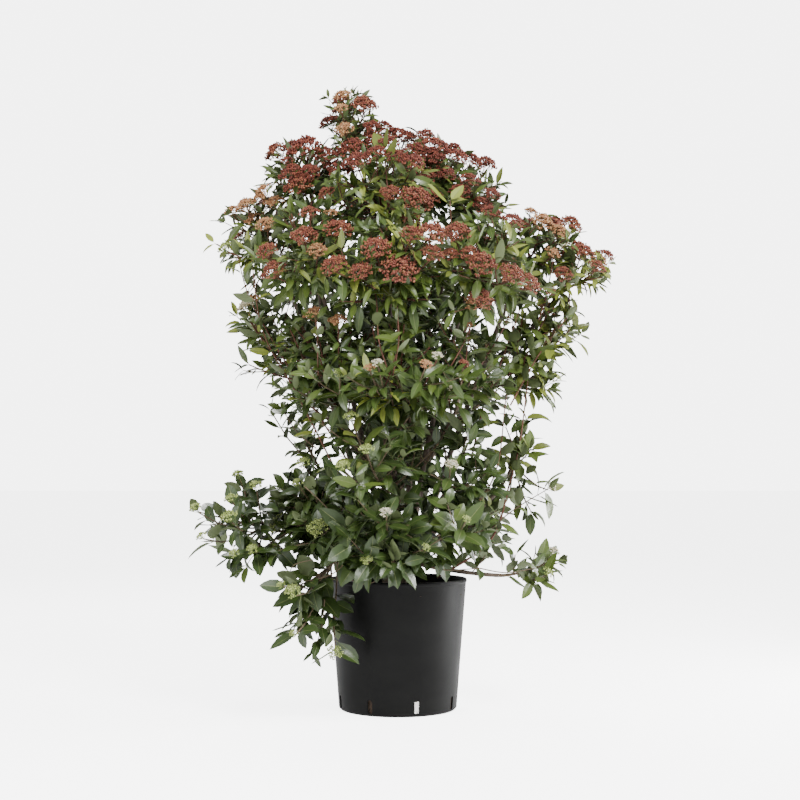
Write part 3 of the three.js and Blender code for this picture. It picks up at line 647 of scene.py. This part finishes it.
def leaf_shape(fold, curl, twist):
    """fold raises the margins, curl bends the tip down, and twist turns the blade about its midrib."""
    def blade_point(along, across, below=0.0):
        reach = lerp(STALK["length"], 1.0, along)
        angle = twist * along
        lift = fold * abs(across) - fold * 0.55 * across * across / LEAF_WIDTH
        x = across * math.cos(angle) - lift * math.sin(angle)
        z = across * math.sin(angle) + lift * math.cos(angle) - curl * along * along - below
        return (x, reach - curl * 0.4 * along ** 3, z)

    def strip(left, right):
        """The faces between two lines of corners that run from the blade's foot to its tip."""
        quads = [(a, b, d, c) for a, b, c, d in zip(left, right, left[1:], right[1:])]
        return [(0, right[0], left[0]), *quads, (left[-1], right[-1], 1)]

    points = [blade_point(0, 0), blade_point(1, 0)]
    for along, share in LEAF_OUTLINE:
        half = LEAF_WIDTH * share
        points += [blade_point(along, column * half) for column in LEAF_COLUMNS]
        points.append(blade_point(along, 0, LEAF_THICKNESS))
    row = len(LEAF_COLUMNS) + 1
    *lines, under = [range(2 + first, len(points), row) for first in range(row)]
    shape = Shape()
    shape.add(points, [], 0)
    for number, pair in enumerate(zip(lines, lines[1:])):
        shape.add([], strip(*pair), 1 if number == RIB_COLUMN else 0)
    for pair in ((under, lines[0]), (lines[-1], under)):
        shape.add([], [face[1:] + face[:1] for face in strip(*pair)], 2)
    radius = STALK["radius"]
    shape.add([(radius * math.cos(turn), reach, radius * math.sin(turn) - STALK["below"])
               for reach in (0.0, STALK["length"] + STALK["sunk"]) for turn in THIRDS], STICK_FACES, 1)
    return shape, {0, 1, *lines[0], *lines[-1]}


def spindle(centre, radius, spin, sides, low, high, inner=1.0):
    """Corners and faces round two ends on an upright axis. Every other corner may be drawn in."""
    corners = [centre + UP * radius * low, centre + UP * radius * high]
    for i in range(sides):
        turn = spin + FULL_TURN * i / sides
        reach = radius * (inner if i % 2 else 1.0)
        corners.append(centre + np.array([math.cos(turn) * reach, math.sin(turn) * reach, radius * 0.12]))
    rim = [(2 + i, 2 + (i + 1) % sides) for i in range(sides)]
    return corners, [(0, b, a) for a, b in rim] + [(1, a, b) for a, b in rim]


# A bud is an egg with four sides, and an open flower is a shallow cup of five lobes.
BUD = dict(sides=4, low=-1.25, high=1.35)
FLOWER = dict(sides=10, low=-0.35, high=-0.1, inner=0.5)
FLOWER_RADIUS = 0.11

# A flower head is a domed spray one unit in radius, on rays that part from its foot. Each ray ends in a fan
# of smaller ones with buds.
HEAD = dict(rays=7, ray_out=0.56, ray_level=0.46, dome=0.98, fall=0.74, fans=6, fan_out=0.3,
            buds=5, bud=0.061, spread=0.100, ray=0.024, fan=0.013)
SMALL_HEAD = {**HEAD, **dict(rays=5, fans=5, buds=4, bud=0.088, spread=0.13, ray=0.034, fan=0.02)}
SMALL_HEAD_RADIUS = 25

# The forms of head: a seed, the share of its buds that are open, and its sizes. Each kind is the number of
# its first form and how many it has.
HEAD_FORMS = [*((seed, 0, HEAD) for seed in range(4)), (10, 0.55, SMALL_HEAD), (11, 0.55, SMALL_HEAD),
              (20, 0, SMALL_HEAD), (21, 0, SMALL_HEAD)]
BIG, OPEN, SMALL = (0, 4), (4, 2), (6, 2)


def head_shape(seed, open_share, form):
    random = np.random.default_rng(seed)
    shape = Shape()

    def stick(start, end, thick, thin):
        along = unit(end - start)
        side = unit(np.cross(along, ACROSS))
        up = np.cross(side, along)
        shape.add([place + (side * math.cos(turn) + up * math.sin(turn)) * radius
                   for place, radius in ((start, thick), (end, thin)) for turn in THIRDS], STICK_FACES, 1)

    def on_dome(x, y):
        return form["dome"] - form["fall"] * (x * x + y * y) + random.uniform(-0.07, 0.05)

    for ray in range(form["rays"]):
        turn = FULL_TURN * ray / (form["rays"] - 1) + random.uniform(-0.25, 0.25)
        out = 0.0 if ray == 0 else form["ray_out"] * random.uniform(0.82, 1.15)
        x, y = math.cos(turn) * out, math.sin(turn) * out
        ray_end = np.array([x, y, form["ray_level"] - 0.2 * out * out])
        stick(np.zeros(3), ray_end, form["ray"], form["ray"] * 0.8)
        for fan in range(form["fans"]):
            spin = turn + FULL_TURN * fan / form["fans"] + random.uniform(-0.3, 0.3)
            reach = form["fan_out"] * random.uniform(0.5, 1.05) if fan else 0.05
            x, y = ray_end[0] + math.cos(spin) * reach, ray_end[1] + math.sin(spin) * reach
            fan_end = np.array([x, y, on_dome(x, y)])
            stick(ray_end, fan_end, form["fan"], form["fan"])
            for bud in range(form["buds"]):
                angle = spin + FULL_TURN * bud / form["buds"] + random.uniform(-0.4, 0.4)
                away = form["spread"] * random.uniform(0.7, 1.2)
                rise = random.uniform(-0.05, 0.07)
                centre = fan_end + np.array([math.cos(angle) * away, math.sin(angle) * away, rise])
                if random.uniform() < open_share:
                    shape.add(*spindle(centre, FLOWER_RADIUS, angle, **FLOWER), 2)
                else:
                    pale = 2 if random.uniform() < 0.35 and open_share == 0 else 0
                    size = form["bud"] * random.uniform(0.8, 1.15)
                    shape.add(*spindle(centre, size, angle, **BUD), pale)
    return shape


# A small ball has twelve corners. Each of its faces joins three that are nearest to each other, and faces
# out.
GOLDEN = (1 + math.sqrt(5)) / 2
BALL = [unit(np.roll((s, t * GOLDEN, 0), turn)) for turn in range(3) for s in (-1, 1) for t in (-1, 1)]
BALL_FACES = []
nearest = min(np.linalg.norm(BALL[0] - corner) for corner in BALL[1:])
for trio in itertools.combinations(range(len(BALL)), 3):
    a, b, c = (BALL[i] for i in trio)
    if max(np.linalg.norm(a - b), np.linalg.norm(b - c), np.linalg.norm(c - a)) < nearest * 1.01:
        faces_out = np.dot(np.cross(b - a, c - a), a + b + c) > 0
        BALL_FACES.append(trio if faces_out else (trio[0], trio[2], trio[1]))


def crumb_shape(seed, flat):
    random = np.random.default_rng(seed)
    shape = Shape()
    shape.add([p * random.uniform(0.7, 1.3) * np.array([1, 1, flat]) for p in BALL], BALL_FACES, 0)
    return shape


leaf_shapes, head_shapes, crumb_shapes = (
    bpy.data.collections.new(f"{kind} shapes") for kind in ("leaf", "head", "crumb"))
for number, form in enumerate(LEAF_FORMS):
    leaf, margin = leaf_shape(*form)
    leaf.finish(leaf_shapes, f"leaf {number}", margin)
for number, form in enumerate(HEAD_FORMS):
    head_shape(*form).finish(head_shapes, f"head {number}")

# Crumbs are nearly round, and the last form is a flat chip of bark.
CRUMB_FLATNESS = (0.7, 0.7, 0.7, 0.25)
CHIP = 3
for number, flat in enumerate(CRUMB_FLATNESS):
    crumb_shape(number, flat).finish(crumb_shapes, f"crumb {number}")


# Growing the shrub. Nothing passes the box of the solids by more than a little, or enters the pot.
LIMITS = [np.array(corner) / MM for corner in cad_box]
ALLOWED = 10
ABOVE_FLOOR = 15
POT_CLEARANCE = dict(side=3, above=2)

# Leaves stand in pairs: the usual gap between pairs, where the first and last of them may stand, how far they
# spread from the stem, how much they tumble and differ in size, and how far all face the light.
LEAF_GAP = 30
FIRST_PAIR, LAST_PAIR = 14.0, 9
SPREAD = 0.85
TUMBLE = 0.45
LEAF_SIZES = (0.82, 1.15)
FACE_OUT = 0.22
STEEP = 0.8

# How light a spray is depends on how far out and how high it ends: partly the leaves' own age, with young
# greens outside and above, and partly painted shade on the inner and lower sprays. Past each limit the next
# green follows.
LEAF_SHADE_AND_TONE = dict(reach=330, lowest=350, rise=1000, by_reach=0.42, by_height=0.58, by_spray=0.13, by_leaf=0.06)
GREEN_LIMITS = (("deep", 0.38), ("dark", 0.62), ("mid", 0.84), ("olive", 1.0))

# Stems that end above this level are young. Heads there turn from tan to rose and to wine red with their
# height.
YOUNG_ABOVE = 780
BLUSH = dict(green_below=760, lowest=950, rise=350, wine=0.75, rose=0.2)

# The rule deals out heads behind this plane. Before it they stand where the viewer sees them, a little
# forward.
HEADS_BEHIND = -60
HEAD_FORWARD = 46
HEAD_TILT = 0.5

# Where the viewer looks for a mass: at these depths, and this far out in it.
DEPTHS = np.arange(-350, 60, 12.0)
MET_AT = 1.08


def frame_from(side, along, normal):
    return Matrix(np.column_stack([side, along, normal]).tolist())


def inside_pot(point):
    wall = lerp(POT["foot"], POT["rim"], point[2] / POT["height"]) + POT_CLEARANCE["side"]
    return point[2] < POT["height"] + POT_CLEARANCE["above"] and math.hypot(point[0], point[1]) < wall


def within_reach(point):
    inside = (point > LIMITS[0] - ALLOWED).all() and (point < LIMITS[1] + ALLOWED).all()
    return inside and point[2] > ABOVE_FLOOR


def is_free(*points):
    return all(within_reach(point) and not inside_pot(point) for point in points)


def seen_at(x, z, y):
    """A place in the view, given in the plane of the axis, carried along the line of sight to a depth."""
    share = (y - EYE[1]) / -EYE[1]
    return np.array([lerp(EYE[0], x, share), y, lerp(EYE[2], z, share)])


def smooth_path(points, steps=6):
    """A smooth line of points through these ones."""
    path = []
    for i, (a, b) in enumerate(zip(points, points[1:])):
        before, after = points[max(i - 1, 0)], points[min(i + 2, len(points) - 1)]
        for step in range(steps):
            t = step / steps
            path.append(0.5 * (2 * a + (b - before) * t + (2 * before - 5 * a + 4 * b - after) * t * t
                               + (3 * a - before - 3 * b + after) * t ** 3))
    return path + [points[-1]]


class Shrub:
    """All that grows: leaves by green, heads by colour, and the paths of old wood, twigs and young shoots."""

    def __init__(self):
        self.leaves = {green: [] for green in GREENS}
        self.heads = {colour: [] for colour in BUDS}
        self.limbs, self.twigs, self.shoots = [], [], []
        self.brighter = 0.0
        self.random = np.random.default_rng(7)

    def chance(self, low, high):
        return self.random.uniform(low, high)

    def add_leaf(self, base, along, facing, length, green):
        along = unit(along)
        if not is_free(base + along * length, base + along * length * 0.5):
            return
        side = unit(np.cross(along, facing))
        kind = int(self.random.integers(len(LEAF_FORMS)))
        size = (length * (self.wide * self.chance(0.85, 1.15)), length, length)
        self.leaves[green].append((base, frame_from(side, along, np.cross(side, along)), size, kind))

    def add_pair(self, curve, share, angle, length, green, forward=0.5):
        """Two opposite leaves, one on each side of the stem, turned about it by an angle."""
        base, tangent = curve.point(share), curve.tangent(share)
        first = unit(np.cross(tangent, ACROSS if abs(tangent[2]) > STEEP else UP))
        second = np.cross(tangent, first)
        across = first * math.cos(angle) + second * math.sin(angle)
        outward = unit(np.array([base[0], base[1], 60.0]))
        to_light = UP + np.array([0, FACE_OUT if base[1] > 0 else -FACE_OUT, 0])
        for way in (1, -1):
            along = tangent * self.chance(forward - 0.15, forward + 0.15) + across * way * SPREAD
            along = unit(along) + UP * self.chance(*self.rise)
            facing = to_light + outward * self.chance(0.1, 1.0) + self.random.normal(0, TUMBLE, 3)
            self.add_leaf(base, along, facing, length * self.chance(*LEAF_SIZES), green)

    def tone_and_shade_of(self, mass, point):
        """How light a spray is. Inner and lower leaves are the darkest and the upper and outer ones lighter,
        partly by age and partly as painted shade.
        """
        out = math.hypot(point[0], point[1]) / LEAF_SHADE_AND_TONE["reach"]
        high = (point[2] - LEAF_SHADE_AND_TONE["lowest"]) / LEAF_SHADE_AND_TONE["rise"]
        light = LEAF_SHADE_AND_TONE["by_reach"] * out + LEAF_SHADE_AND_TONE["by_height"] * high + mass.tier["light"] + self.brighter
        return light + self.random.normal(0, LEAF_SHADE_AND_TONE["by_spray"])

    def green_of(self, light):
        light += self.random.normal(0, LEAF_SHADE_AND_TONE["by_leaf"])
        return next((green for green, limit in GREEN_LIMITS if light < limit), "young")

    def add_leafy_stem(self, mass, curve, length_scale, first=0.3, is_end=True, gap=LEAF_GAP):
        """Pairs of leaves along a stem, each pair across the one before it. Those on its tip are smaller."""
        length = curve.length()
        self.wide, self.rise = mass.tier["wide"], mass.tier["rise"]
        size = mass.tier["leaf"] * length_scale
        light = self.tone_and_shade_of(mass, curve.end)
        turn = self.chance(0, math.pi)
        place = max(first * length, FIRST_PAIR)
        while place < length - LAST_PAIR:
            self.add_pair(curve, place / length, turn, size * self.chance(0.8, 1.12), self.green_of(light))
            turn += math.pi / 2 + self.chance(-0.2, 0.2)
            place += gap * self.chance(0.85, 1.2)
        if is_end:
            self.add_pair(curve, 1, turn, size * 0.78, self.green_of(light), forward=1.0)
            if self.random.uniform() < 0.35:
                green = self.green_of(light + 0.1)
                self.add_pair(curve, 0.985, turn + math.pi / 2, size * 0.5, green, forward=1.5)

    def add_head(self, curve, radius, colour):
        """A flower head on the tip of a stem, turned up and a little outwards."""
        outward = unit(np.array([curve.end[0], curve.end[1], 0]))
        ray = unit(curve.tangent(1) + UP + outward * HEAD_TILT)
        side = unit(np.cross(ray, ACROSS))
        first, count = OPEN if colour == "cream" else SMALL if radius < SMALL_HEAD_RADIUS else BIG
        kind = first + int(self.random.integers(count))
        size = (radius, radius, radius * self.chance(0.85, 1.15))
        self.heads[colour].append((curve.end, frame_from(side, np.cross(ray, side), ray), size, kind))

    def add_stem(self, path):
        """A stem without its leaves. Its last point says whether it is a young shoot or a brown twig."""
        end = path[-1][0]
        (self.shoots if end[2] > YOUNG_ABOVE else self.twigs).append(path)

    def add_branch(self, mass, curve, head=None):
        """A twig with side twigs, leaves on all of them, and perhaps a flower head on its tip."""
        self.add_stem(curve.path(2.4, 1.5, 3))
        self.add_leafy_stem(mass, curve, 1.0, is_end=head is None)
        if head:
            self.add_head(curve, *head)
        for share in mass.tier["sides"]:
            base, tangent = curve.point(share), curve.tangent(share)
            side = unit(np.cross(tangent, UP + self.random.normal(0, 0.5, 3)))
            way = 1 if self.random.uniform() < 0.5 else -1
            reach = curve.length() * self.chance(0.35, 0.5)
            end = base + unit(tangent * 0.8 + side * way * 0.75 + UP * 0.2) * reach
            if is_free(end):
                twiglet = sagging(base, end, 0.5, reach * 0.08)
                self.add_stem(twiglet.path(1.4, 1.0, 2))
                self.add_leafy_stem(mass, twiglet, 0.85, first=0.45)

    def grow(self, mass):
        """Twigs leave the spine by a golden spiral, from its apex down, and run to the outline."""
        tier, spine = mass.tier, mass.spine
        sideways = unit(np.cross(mass.axis, ACROSS))
        forward = np.cross(sideways, mass.axis)
        if mass.own_limb:
            self.limbs.append((mass.limb, STEM if mass.root[0] == "stool" else BOUGH))
        self.twigs.append(spine.path(BOUGH[1] if mass.own_limb else SPINE["root"], SPINE["tip"],
                                     6 if mass.own_limb else 14))
        self.add_leafy_stem(mass, spine, 1.1, first=0.25 if mass.own_limb else 0.6, gap=tier["gap"])
        if mass.own_limb and not tier["bare"]:
            self.clothe(mass)
        blooms = 0
        for k in range(tier["shoots"]):
            drop = k / tier["shoots"]
            rise = lerp(1, -0.6, drop)
            turn = k * GOLDEN_TURN + mass.index
            flat = math.sqrt(1 - rise * rise)
            direction = mass.axis * rise + sideways * flat * math.cos(turn) + forward * flat * math.sin(turn)
            start = spine.point(lerp(0.97, 0.3, drop))
            is_bloom = blooms < tier["blooms"] and mass.centre[1] > HEADS_BEHIND
            end = mass.at(direction, self.chance(*((0.6, 0.8) if is_bloom else tier["reach"])))
            if not is_free(end):
                continue
            curve = sagging(start, end, 0.55, tier["lift"] * np.linalg.norm(end - start) * 0.3)
            head = None
            radius = self.chance(28, 42)
            if is_bloom and end[1] > HEADS_BEHIND and within_reach(end + UP * radius):
                head = (radius, self.colour_at(end))
                blooms += 1
            self.add_branch(mass, curve, head)

    def clothe(self, mass):
        """Short leafy twigs along the outer part of a stem or bough, closer on boughs and at the back."""
        limb = mass.limb
        first, gap = (0.42, 45) if mass.tier["bough"] or mass.centre[1] > 0 else (0.5, 60)
        count = int(limb.length() * (1 - first) / gap)
        for number in range(count):
            share = lerp(first, 0.97, number / count)
            start, tangent = limb.point(share), limb.tangent(share)
            turn = number * GOLDEN_TURN + mass.index
            side = unit(np.cross(tangent, UP))
            across = side * math.cos(turn) + np.cross(side, tangent) * abs(math.sin(turn))
            end = start + unit(tangent * 0.7 + across + UP * 0.15) * self.chance(45, 80)
            if is_free(end):
                curve = sagging(start, end, 0.5, 6)
                self.add_stem(curve.path(1.6, 1.0, 2))
                self.add_leafy_stem(mass, curve, 0.95, first=0.35)

    def colour_at(self, point):
        """Low heads are still green. Those above are wine red at the top and rosier down the sides."""
        if point[2] < BLUSH["green_below"]:
            return "green" if self.random.uniform() < 0.85 else "cream"
        high = (point[2] - BLUSH["lowest"]) / BLUSH["rise"] + self.random.normal(0, 0.25)
        return "wine" if high > BLUSH["wine"] else "rose" if high > BLUSH["rose"] else "tan"

    def front_of(self, x, z):
        """The mass that the viewer meets first at a place in the view, and the point where it is met."""
        met = []
        for mass in masses.values():
            for y in DEPTHS:
                point = seen_at(x, z, y)
                gap = mass.depth(point)
                met.append(((0, y) if gap < MET_AT else (1, gap), mass, point))
                if gap < MET_AT:
                    break
        return min(met, key=lambda place: place[0])[1:]

    def add_seen_branch(self, x, z, head=None):
        """A branch whose tip is seen at this place, on the spine of the mass that stands there."""
        mass, end = self.front_of(x, z)
        if head:
            radius = head[0]
            front = max(end[1] - HEAD_FORWARD, LIMITS[0][1] + radius * 0.7)
            end = seen_at(x, z, min(front, end[1])) - UP * radius * 0.65
        while inside_pot(end):
            end[1] -= 10
        start = mass.spine.point(0.55)
        self.add_branch(mass, sagging(start, end, 0.6, 0.18 * np.linalg.norm(end - start)), head)

    def add_long_shoot(self, seen, y, radius, leaf, gap):
        """A long stem that stands clear, with pairs of leaves up it, or bare."""
        path = smooth_path([seen_at(x, z, y) for x, z in seen])
        self.add_stem([(p, lerp(radius, 1.0, i / (len(path) - 1))) for i, p in enumerate(path)])
        if not leaf:
            return
        self.wide, self.rise = 0.85, (-0.25, 0.2)
        light = self.tone_and_shade_of(masses["loin_right"], path[-1])
        walked = -gap
        for a, b in zip(path, path[1:]):
            walked += np.linalg.norm(b - a)
            if walked > gap:
                walked = 0
                self.add_pair(Bow(a, (a + b) / 2, b), 0, self.chance(0, 3), leaf, self.green_of(light))
        tip = Bow(path[-2], (path[-2] + path[-1]) / 2, path[-1])
        self.add_pair(tip, 1, self.chance(0, 3), leaf * 0.8, self.green_of(light), forward=1.0)


shrub = Shrub()
for mass in masses.values():
    shrub.grow(mass)
for colour, heads in BLOOMS.items():
    for x, z, radius in heads:
        shrub.add_seen_branch(x, z, (radius * SEEN_HEAD_GROWTH, colour))
for x, z in SEEN_TWIGS:
    shrub.add_seen_branch(x, z)
for row in LONG_SHOOTS:
    shrub.add_long_shoot(*row)
shrub.brighter = BRIGHTER
for x, z in BRIGHT_TWIGS:
    shrub.add_seen_branch(x, z)


def dress(piece, slot, *nodes):
    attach(piece, "root")
    if nodes:
        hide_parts(*nodes)


def limb_path(limb, radii):
    """A limb's points, close together, swollen where it leaves what carries it."""
    steps = int(limb.length() / 6)
    path = []
    for i in range(steps + 1):
        share = i / steps
        swell = 1 + 0.45 * math.exp(-share * limb.length() / 18)
        path.append((limb.point(share), lerp(*radii, share) * swell))
    return path


STOOL_PROFILE = [
    (1.0, -0.12), (1.36, 0.0), (1.3, 0.08), (1.02, 0.28), (0.9, 0.55), (0.8, 0.8), (0.55, 1.0), (0.02, 1.1),
]


def stool_path():
    """The stool's outline as a short, thick and uneven stem, by shares of its radius and height."""
    foot = SOIL_TOP + SEAT_GAP
    path = []
    for (r0, h0), (r1, h1) in zip(STOOL_PROFILE, STOOL_PROFILE[1:]):
        for i in range(4):
            share = i / 4
            path.append((np.array([0, 0, foot + lerp(h0, h1, share) * STOOL["height"]]),
                         lerp(r0, r1, share) * STOOL["radius"]))
    return path


bark = bark_finish("old bark", (0.036, 0.024, 0.016), (0.115, 0.084, 0.060))
twig_bark = bark_finish("twig bark", (0.055, 0.036, 0.020), (0.130, 0.092, 0.050))
young_bark = bark_finish("young shoot", (0.066, 0.021, 0.012), (0.118, 0.046, 0.023))
limb_paths = [limb_path(*limb) for limb in shrub.limbs]
limb_nodes = [f"{'stem' if mass.root[0] == 'stool' else 'bough'}_{mass.name}"
              for mass in masses.values() if mass.own_limb]
dress(tubes("stems_and_boughs", limb_paths, 12, bark, relief=2.2, grain=150), "bark", *limb_nodes)
dress(tubes("stool_wood", [stool_path()], 48, bark, relief=12, grain=45), "bark", "stool")
dress(tubes("twigs", shrub.twigs, 5, twig_bark), "bark")
dress(tubes("young_shoots", shrub.shoots, 5, young_bark), "bark")

# The leaves of the dark green replace the masses, front and back.
HALVES = {"front": lambda place: place[1] < 0, "back": lambda place: place[1] >= 0}
underside = plain_finish("leaf underside", UNDERSIDE, 0.6)
rib = plain_finish("leaf rib", RIB, 0.5)
for green, colours in GREENS.items():
    top = leaf_finish(f"leaf {green}", *colours)
    for half, is_here in HALVES.items():
        spots = [spot for spot in shrub.leaves[green] if is_here(spot[0])]
        piece = scatter(f"leaves_{green}_{half}", spots, leaf_shapes, [top, rib, underside])
        nodes = [f"foliage_{mass.name}" for mass in masses.values() if is_here(mass.centre)]
        dress(piece, "foliage", *(nodes if green == "dark" else ()))

for colour, (bud, pale, ray) in BUDS.items():
    finishes = [plain_finish(f"{colour} {part}", shade, 0.6)
                for part, shade in (("bud", bud), ("ray", ray), ("pale bud", pale))]
    dress(scatter(f"heads_{colour}", shrub.heads[colour], head_shapes, finishes), "foliage")


# The pot.
def mesh_piece(name, work, material):
    mesh = bpy.data.meshes.new(name)
    work.to_mesh(mesh)
    work.free()
    mesh.materials.append(material)
    return linked(name, mesh)


def turned_piece(name, profile, sides, material):
    """A closed shape turned about the pot's axis from a list of radii and levels, in millimetres."""
    work = bmesh.new()
    line = [work.verts.new((r * MM, 0, z * MM)) for r, z in profile]
    edges = [work.edges.new(pair) for pair in zip(line, line[1:])]
    bmesh.ops.spin(work, geom=line + edges, axis=(0, 0, 1), cent=(0, 0, 0), steps=sides, angle=FULL_TURN)
    bmesh.ops.remove_doubles(work, verts=work.verts, dist=1e-6)
    bmesh.ops.recalc_face_normals(work, faces=work.faces)
    return mesh_piece(name, work, material)


def rounded(corners, radius, steps=3):
    """A profile with its inner corners rounded."""
    points = [corners[0]]
    for before, corner, after in zip(corners, corners[1:], corners[2:]):
        before, corner, after = (np.array(p, float) for p in (before, corner, after))
        cut = min(radius, np.linalg.norm(corner - before) * 0.45, np.linalg.norm(after - corner) * 0.45)
        curve = Bow(corner + unit(before - corner) * cut, corner, corner + unit(after - corner) * cut)
        points += [tuple(curve.point(i / steps)) for i in range(steps + 1)]
    return points + [corners[-1]]


def pot_profile():
    """From the middle of the underside, up the outside to the rim, and down the inside to the floor."""
    foot, rim, height, wall = POT["foot"], POT["rim"], POT["height"], POT["wall"]
    depth, step = POT["rim_depth"], POT["rim_step"]
    lip = rim - step
    return rounded([
        (0, 0.6), (foot - 14, 0.6), (foot - 12, 0), (foot - POT["corner"], 0), (foot, POT["corner"]),
        (lip, height - depth), (rim, height - depth + step), (rim, height - step), (rim - step, height),
        (lip - wall, height), (foot - wall, POT["floor"]), (0, POT["floor"]),
    ], 1.2)


def slot_turn(number):
    """The turn that brings what stands at the front of the pot to one of its slots."""
    return Matrix.Rotation(math.radians(SLOT["first"] + number * 360 / SLOT["count"]), 3, "Z")


def slot_cutters():
    """A bar with round ends for each slot, to be cut out of the wall."""
    work = bmesh.new()
    half = SLOT["width"] / 2
    outline = []
    for level, start in ((SLOT["lowest"] + half, math.pi), (SLOT["lowest"] + SLOT["height"] - half, 0)):
        for i in range(9):
            turn = start + math.pi * i / 8
            outline.append((half * math.cos(turn), level + half * math.sin(turn)))
    for number in range(SLOT["count"]):
        near, far = ([work.verts.new(slot_turn(number) @ Vector((x, -reach, z)) * MM) for x, z in outline]
                     for reach in (POT["foot"] - SLOT["bite"], POT["foot"] + SLOT["bite"]))
        for i, (a, b) in enumerate(zip(near, far)):
            after = (i + 1) % len(outline)
            work.faces.new((a, near[after], far[after], b))
        work.faces.new(near)
        work.faces.new(far)
    bmesh.ops.recalc_face_normals(work, faces=work.faces)
    return mesh_piece("slot cutters", work, None)


def build_pot():
    pot = turned_piece("nursery_pot", pot_profile(), 144, pot_finish())
    cutters = slot_cutters()
    cut = pot.modifiers.new("slots", "BOOLEAN")
    cut.object, cut.operation, cut.solver = cutters, "DIFFERENCE", "EXACT"
    view = pot.evaluated_get(bpy.context.evaluated_depsgraph_get())
    pot.data = bpy.data.meshes.new_from_object(view)
    pot.modifiers.clear()
    bpy.data.objects.remove(cutters)
    pot.data.shade_smooth()
    pot.data.set_sharp_from_angle(angle=math.radians(32))
    return pot


dress(build_pot(), "pot", "pot")

# The soil: the node keeps its shape, with crumbs and bark chips on it, and in one slot pale grains that are
# painted light, standing in for the bright white seen through that slot.
soil_material = soil_finish()
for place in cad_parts["soil"].material_slots:
    place.material = soil_material


# The soil is level out to this reach, and then slopes down to its edge.
LEVEL_TO, SLOPE, SOIL_EDGE = 105, 0.11, 150


def spots_on_soil(count, seed):
    """Places of crumbs and of some bigger chips on the soil."""
    random = np.random.default_rng(seed)
    spots = []
    for _ in range(count):
        reach = SOIL_EDGE * math.sqrt(random.uniform())
        turn = random.uniform(0, FULL_TURN)
        level = SOIL_TOP - max(0, reach - LEVEL_TO) * SLOPE
        turned = Matrix.Rotation(random.uniform(0, 6.28), 3, "Z")
        tipped = Matrix.Rotation(random.uniform(-0.5, 0.5), 3, "X")
        kind = int(random.integers(len(CRUMB_FLATNESS)))
        size = random.uniform(2, 5) if kind < CHIP else random.uniform(5, 11)
        place = np.array([math.cos(turn) * reach, math.sin(turn) * reach, level])
        spots.append((place, turned @ tipped, size, kind))
    return spots


def grains_in_slot(count, seed):
    """Places of pale grains, flush with the inside of the wall, behind one slot: painted light for the bright
    white seen through it.
    """
    random = np.random.default_rng(seed)
    spots = []
    for _ in range(count):
        z = SLOT["lowest"] + 3 + random.uniform(0, SLOT["height"] - 6)
        x = random.uniform(-1, 1) * (SLOT["width"] / 2 - 1.5)
        reach = lerp(POT["foot"], POT["rim"], z / POT["height"]) - POT["wall"] + random.uniform(-0.4, 1.2)
        place = np.array(slot_turn(SLOT["pale"]) @ Vector((x, -reach, z)))
        spots.append((place, Matrix.Rotation(random.uniform(0, 6.28), 3, "Z"), random.uniform(1.0, 2.0), 0))
    return spots


crumb = plain_finish("soil crumb", (0.040, 0.026, 0.016), 0.95)
dress(scatter("soil_crumbs", spots_on_soil(900, 3), crumb_shapes, [crumb]), "soil")
# The pale grains are painted light: they stand in for the bright white backdrop seen through one slot.
perlite = plain_finish("perlite", (0.85, 0.84, 0.81), 0.9)
dress(scatter("perlite_grains", grains_in_slot(170, 5), crumb_shapes, [perlite]), "soil")


# Floor, light and camera. The studio's walls give a soft light, and are seen as a brighter white.
WHITE, BLACK = (1, 1, 1), (0, 0, 0)
SKY_LIGHT, SKY_SEEN = 0.72, 5.6
FLOOR_GLOW = 4.3


def add_floor():
    """A white floor, lit from within for the viewer alone, so that only a soft shadow is left on it."""
    work = bmesh.new()
    bmesh.ops.create_grid(work, x_segments=1, y_segments=1, size=30)
    finish = Finish("pale floor", (0.93, 0.93, 0.93), 0.9)
    finish.blend("Emission Color", finish.node("ShaderNodeLightPath", output="Is Camera Ray"), BLACK, WHITE)
    finish.feed("Emission Strength", FLOOR_GLOW)
    mesh_piece("floor", work, finish.material)


def add_light(name, place, aim, size, power):
    """A flat lamp that is aimed at this height on the pot's axis."""
    light = bpy.data.lights.new(name, "AREA")
    light.shape, light.energy = "RECTANGLE", power
    light.size, light.size_y = size
    lamp = linked(name, light)
    lamp.location = place
    lamp.rotation_euler = (Vector((0, 0, aim)) - Vector(place)).to_track_quat("-Z", "Y").to_euler()


def add_world():
    world = bpy.data.worlds.new("studio")
    world.use_nodes = True
    sky = Nodes(world.node_tree)
    back = sky.tree.nodes["Background"]
    seen = sky.node("ShaderNodeLightPath", output="Is Camera Ray")
    sky.set(back, "Color", (*WHITE, 1))
    strength = sky.node("ShaderNodeMix", {"Factor": seen, "A": SKY_LIGHT, "B": SKY_SEEN}, "Result")
    sky.set(back, "Strength", strength)
    bpy.context.scene.world = world


def add_camera():
    camera = linked("camera", bpy.data.cameras.new("camera"))
    camera.data.lens = LENS
    camera.location = Vector(EYE * MM)
    camera.rotation_euler = (math.radians(90 + PITCH), 0, 0)
    bpy.context.scene.camera = camera


add_floor()
add_light("key", (1.3, -2.5, 2.9), 0.8, (1.1, 1.1), 222)
add_light("fill", (-2.4, -2.2, 1.8), 0.8, (1.4, 2.0), 92)
add_light("edge", (1.9, 0.3, 0.6), 0.4, (0.5, 1.4), 85)
add_light("back", (-1.0, 2.6, 3.0), 0.8, (1.4, 1.4), 95)
add_world()
add_camera()
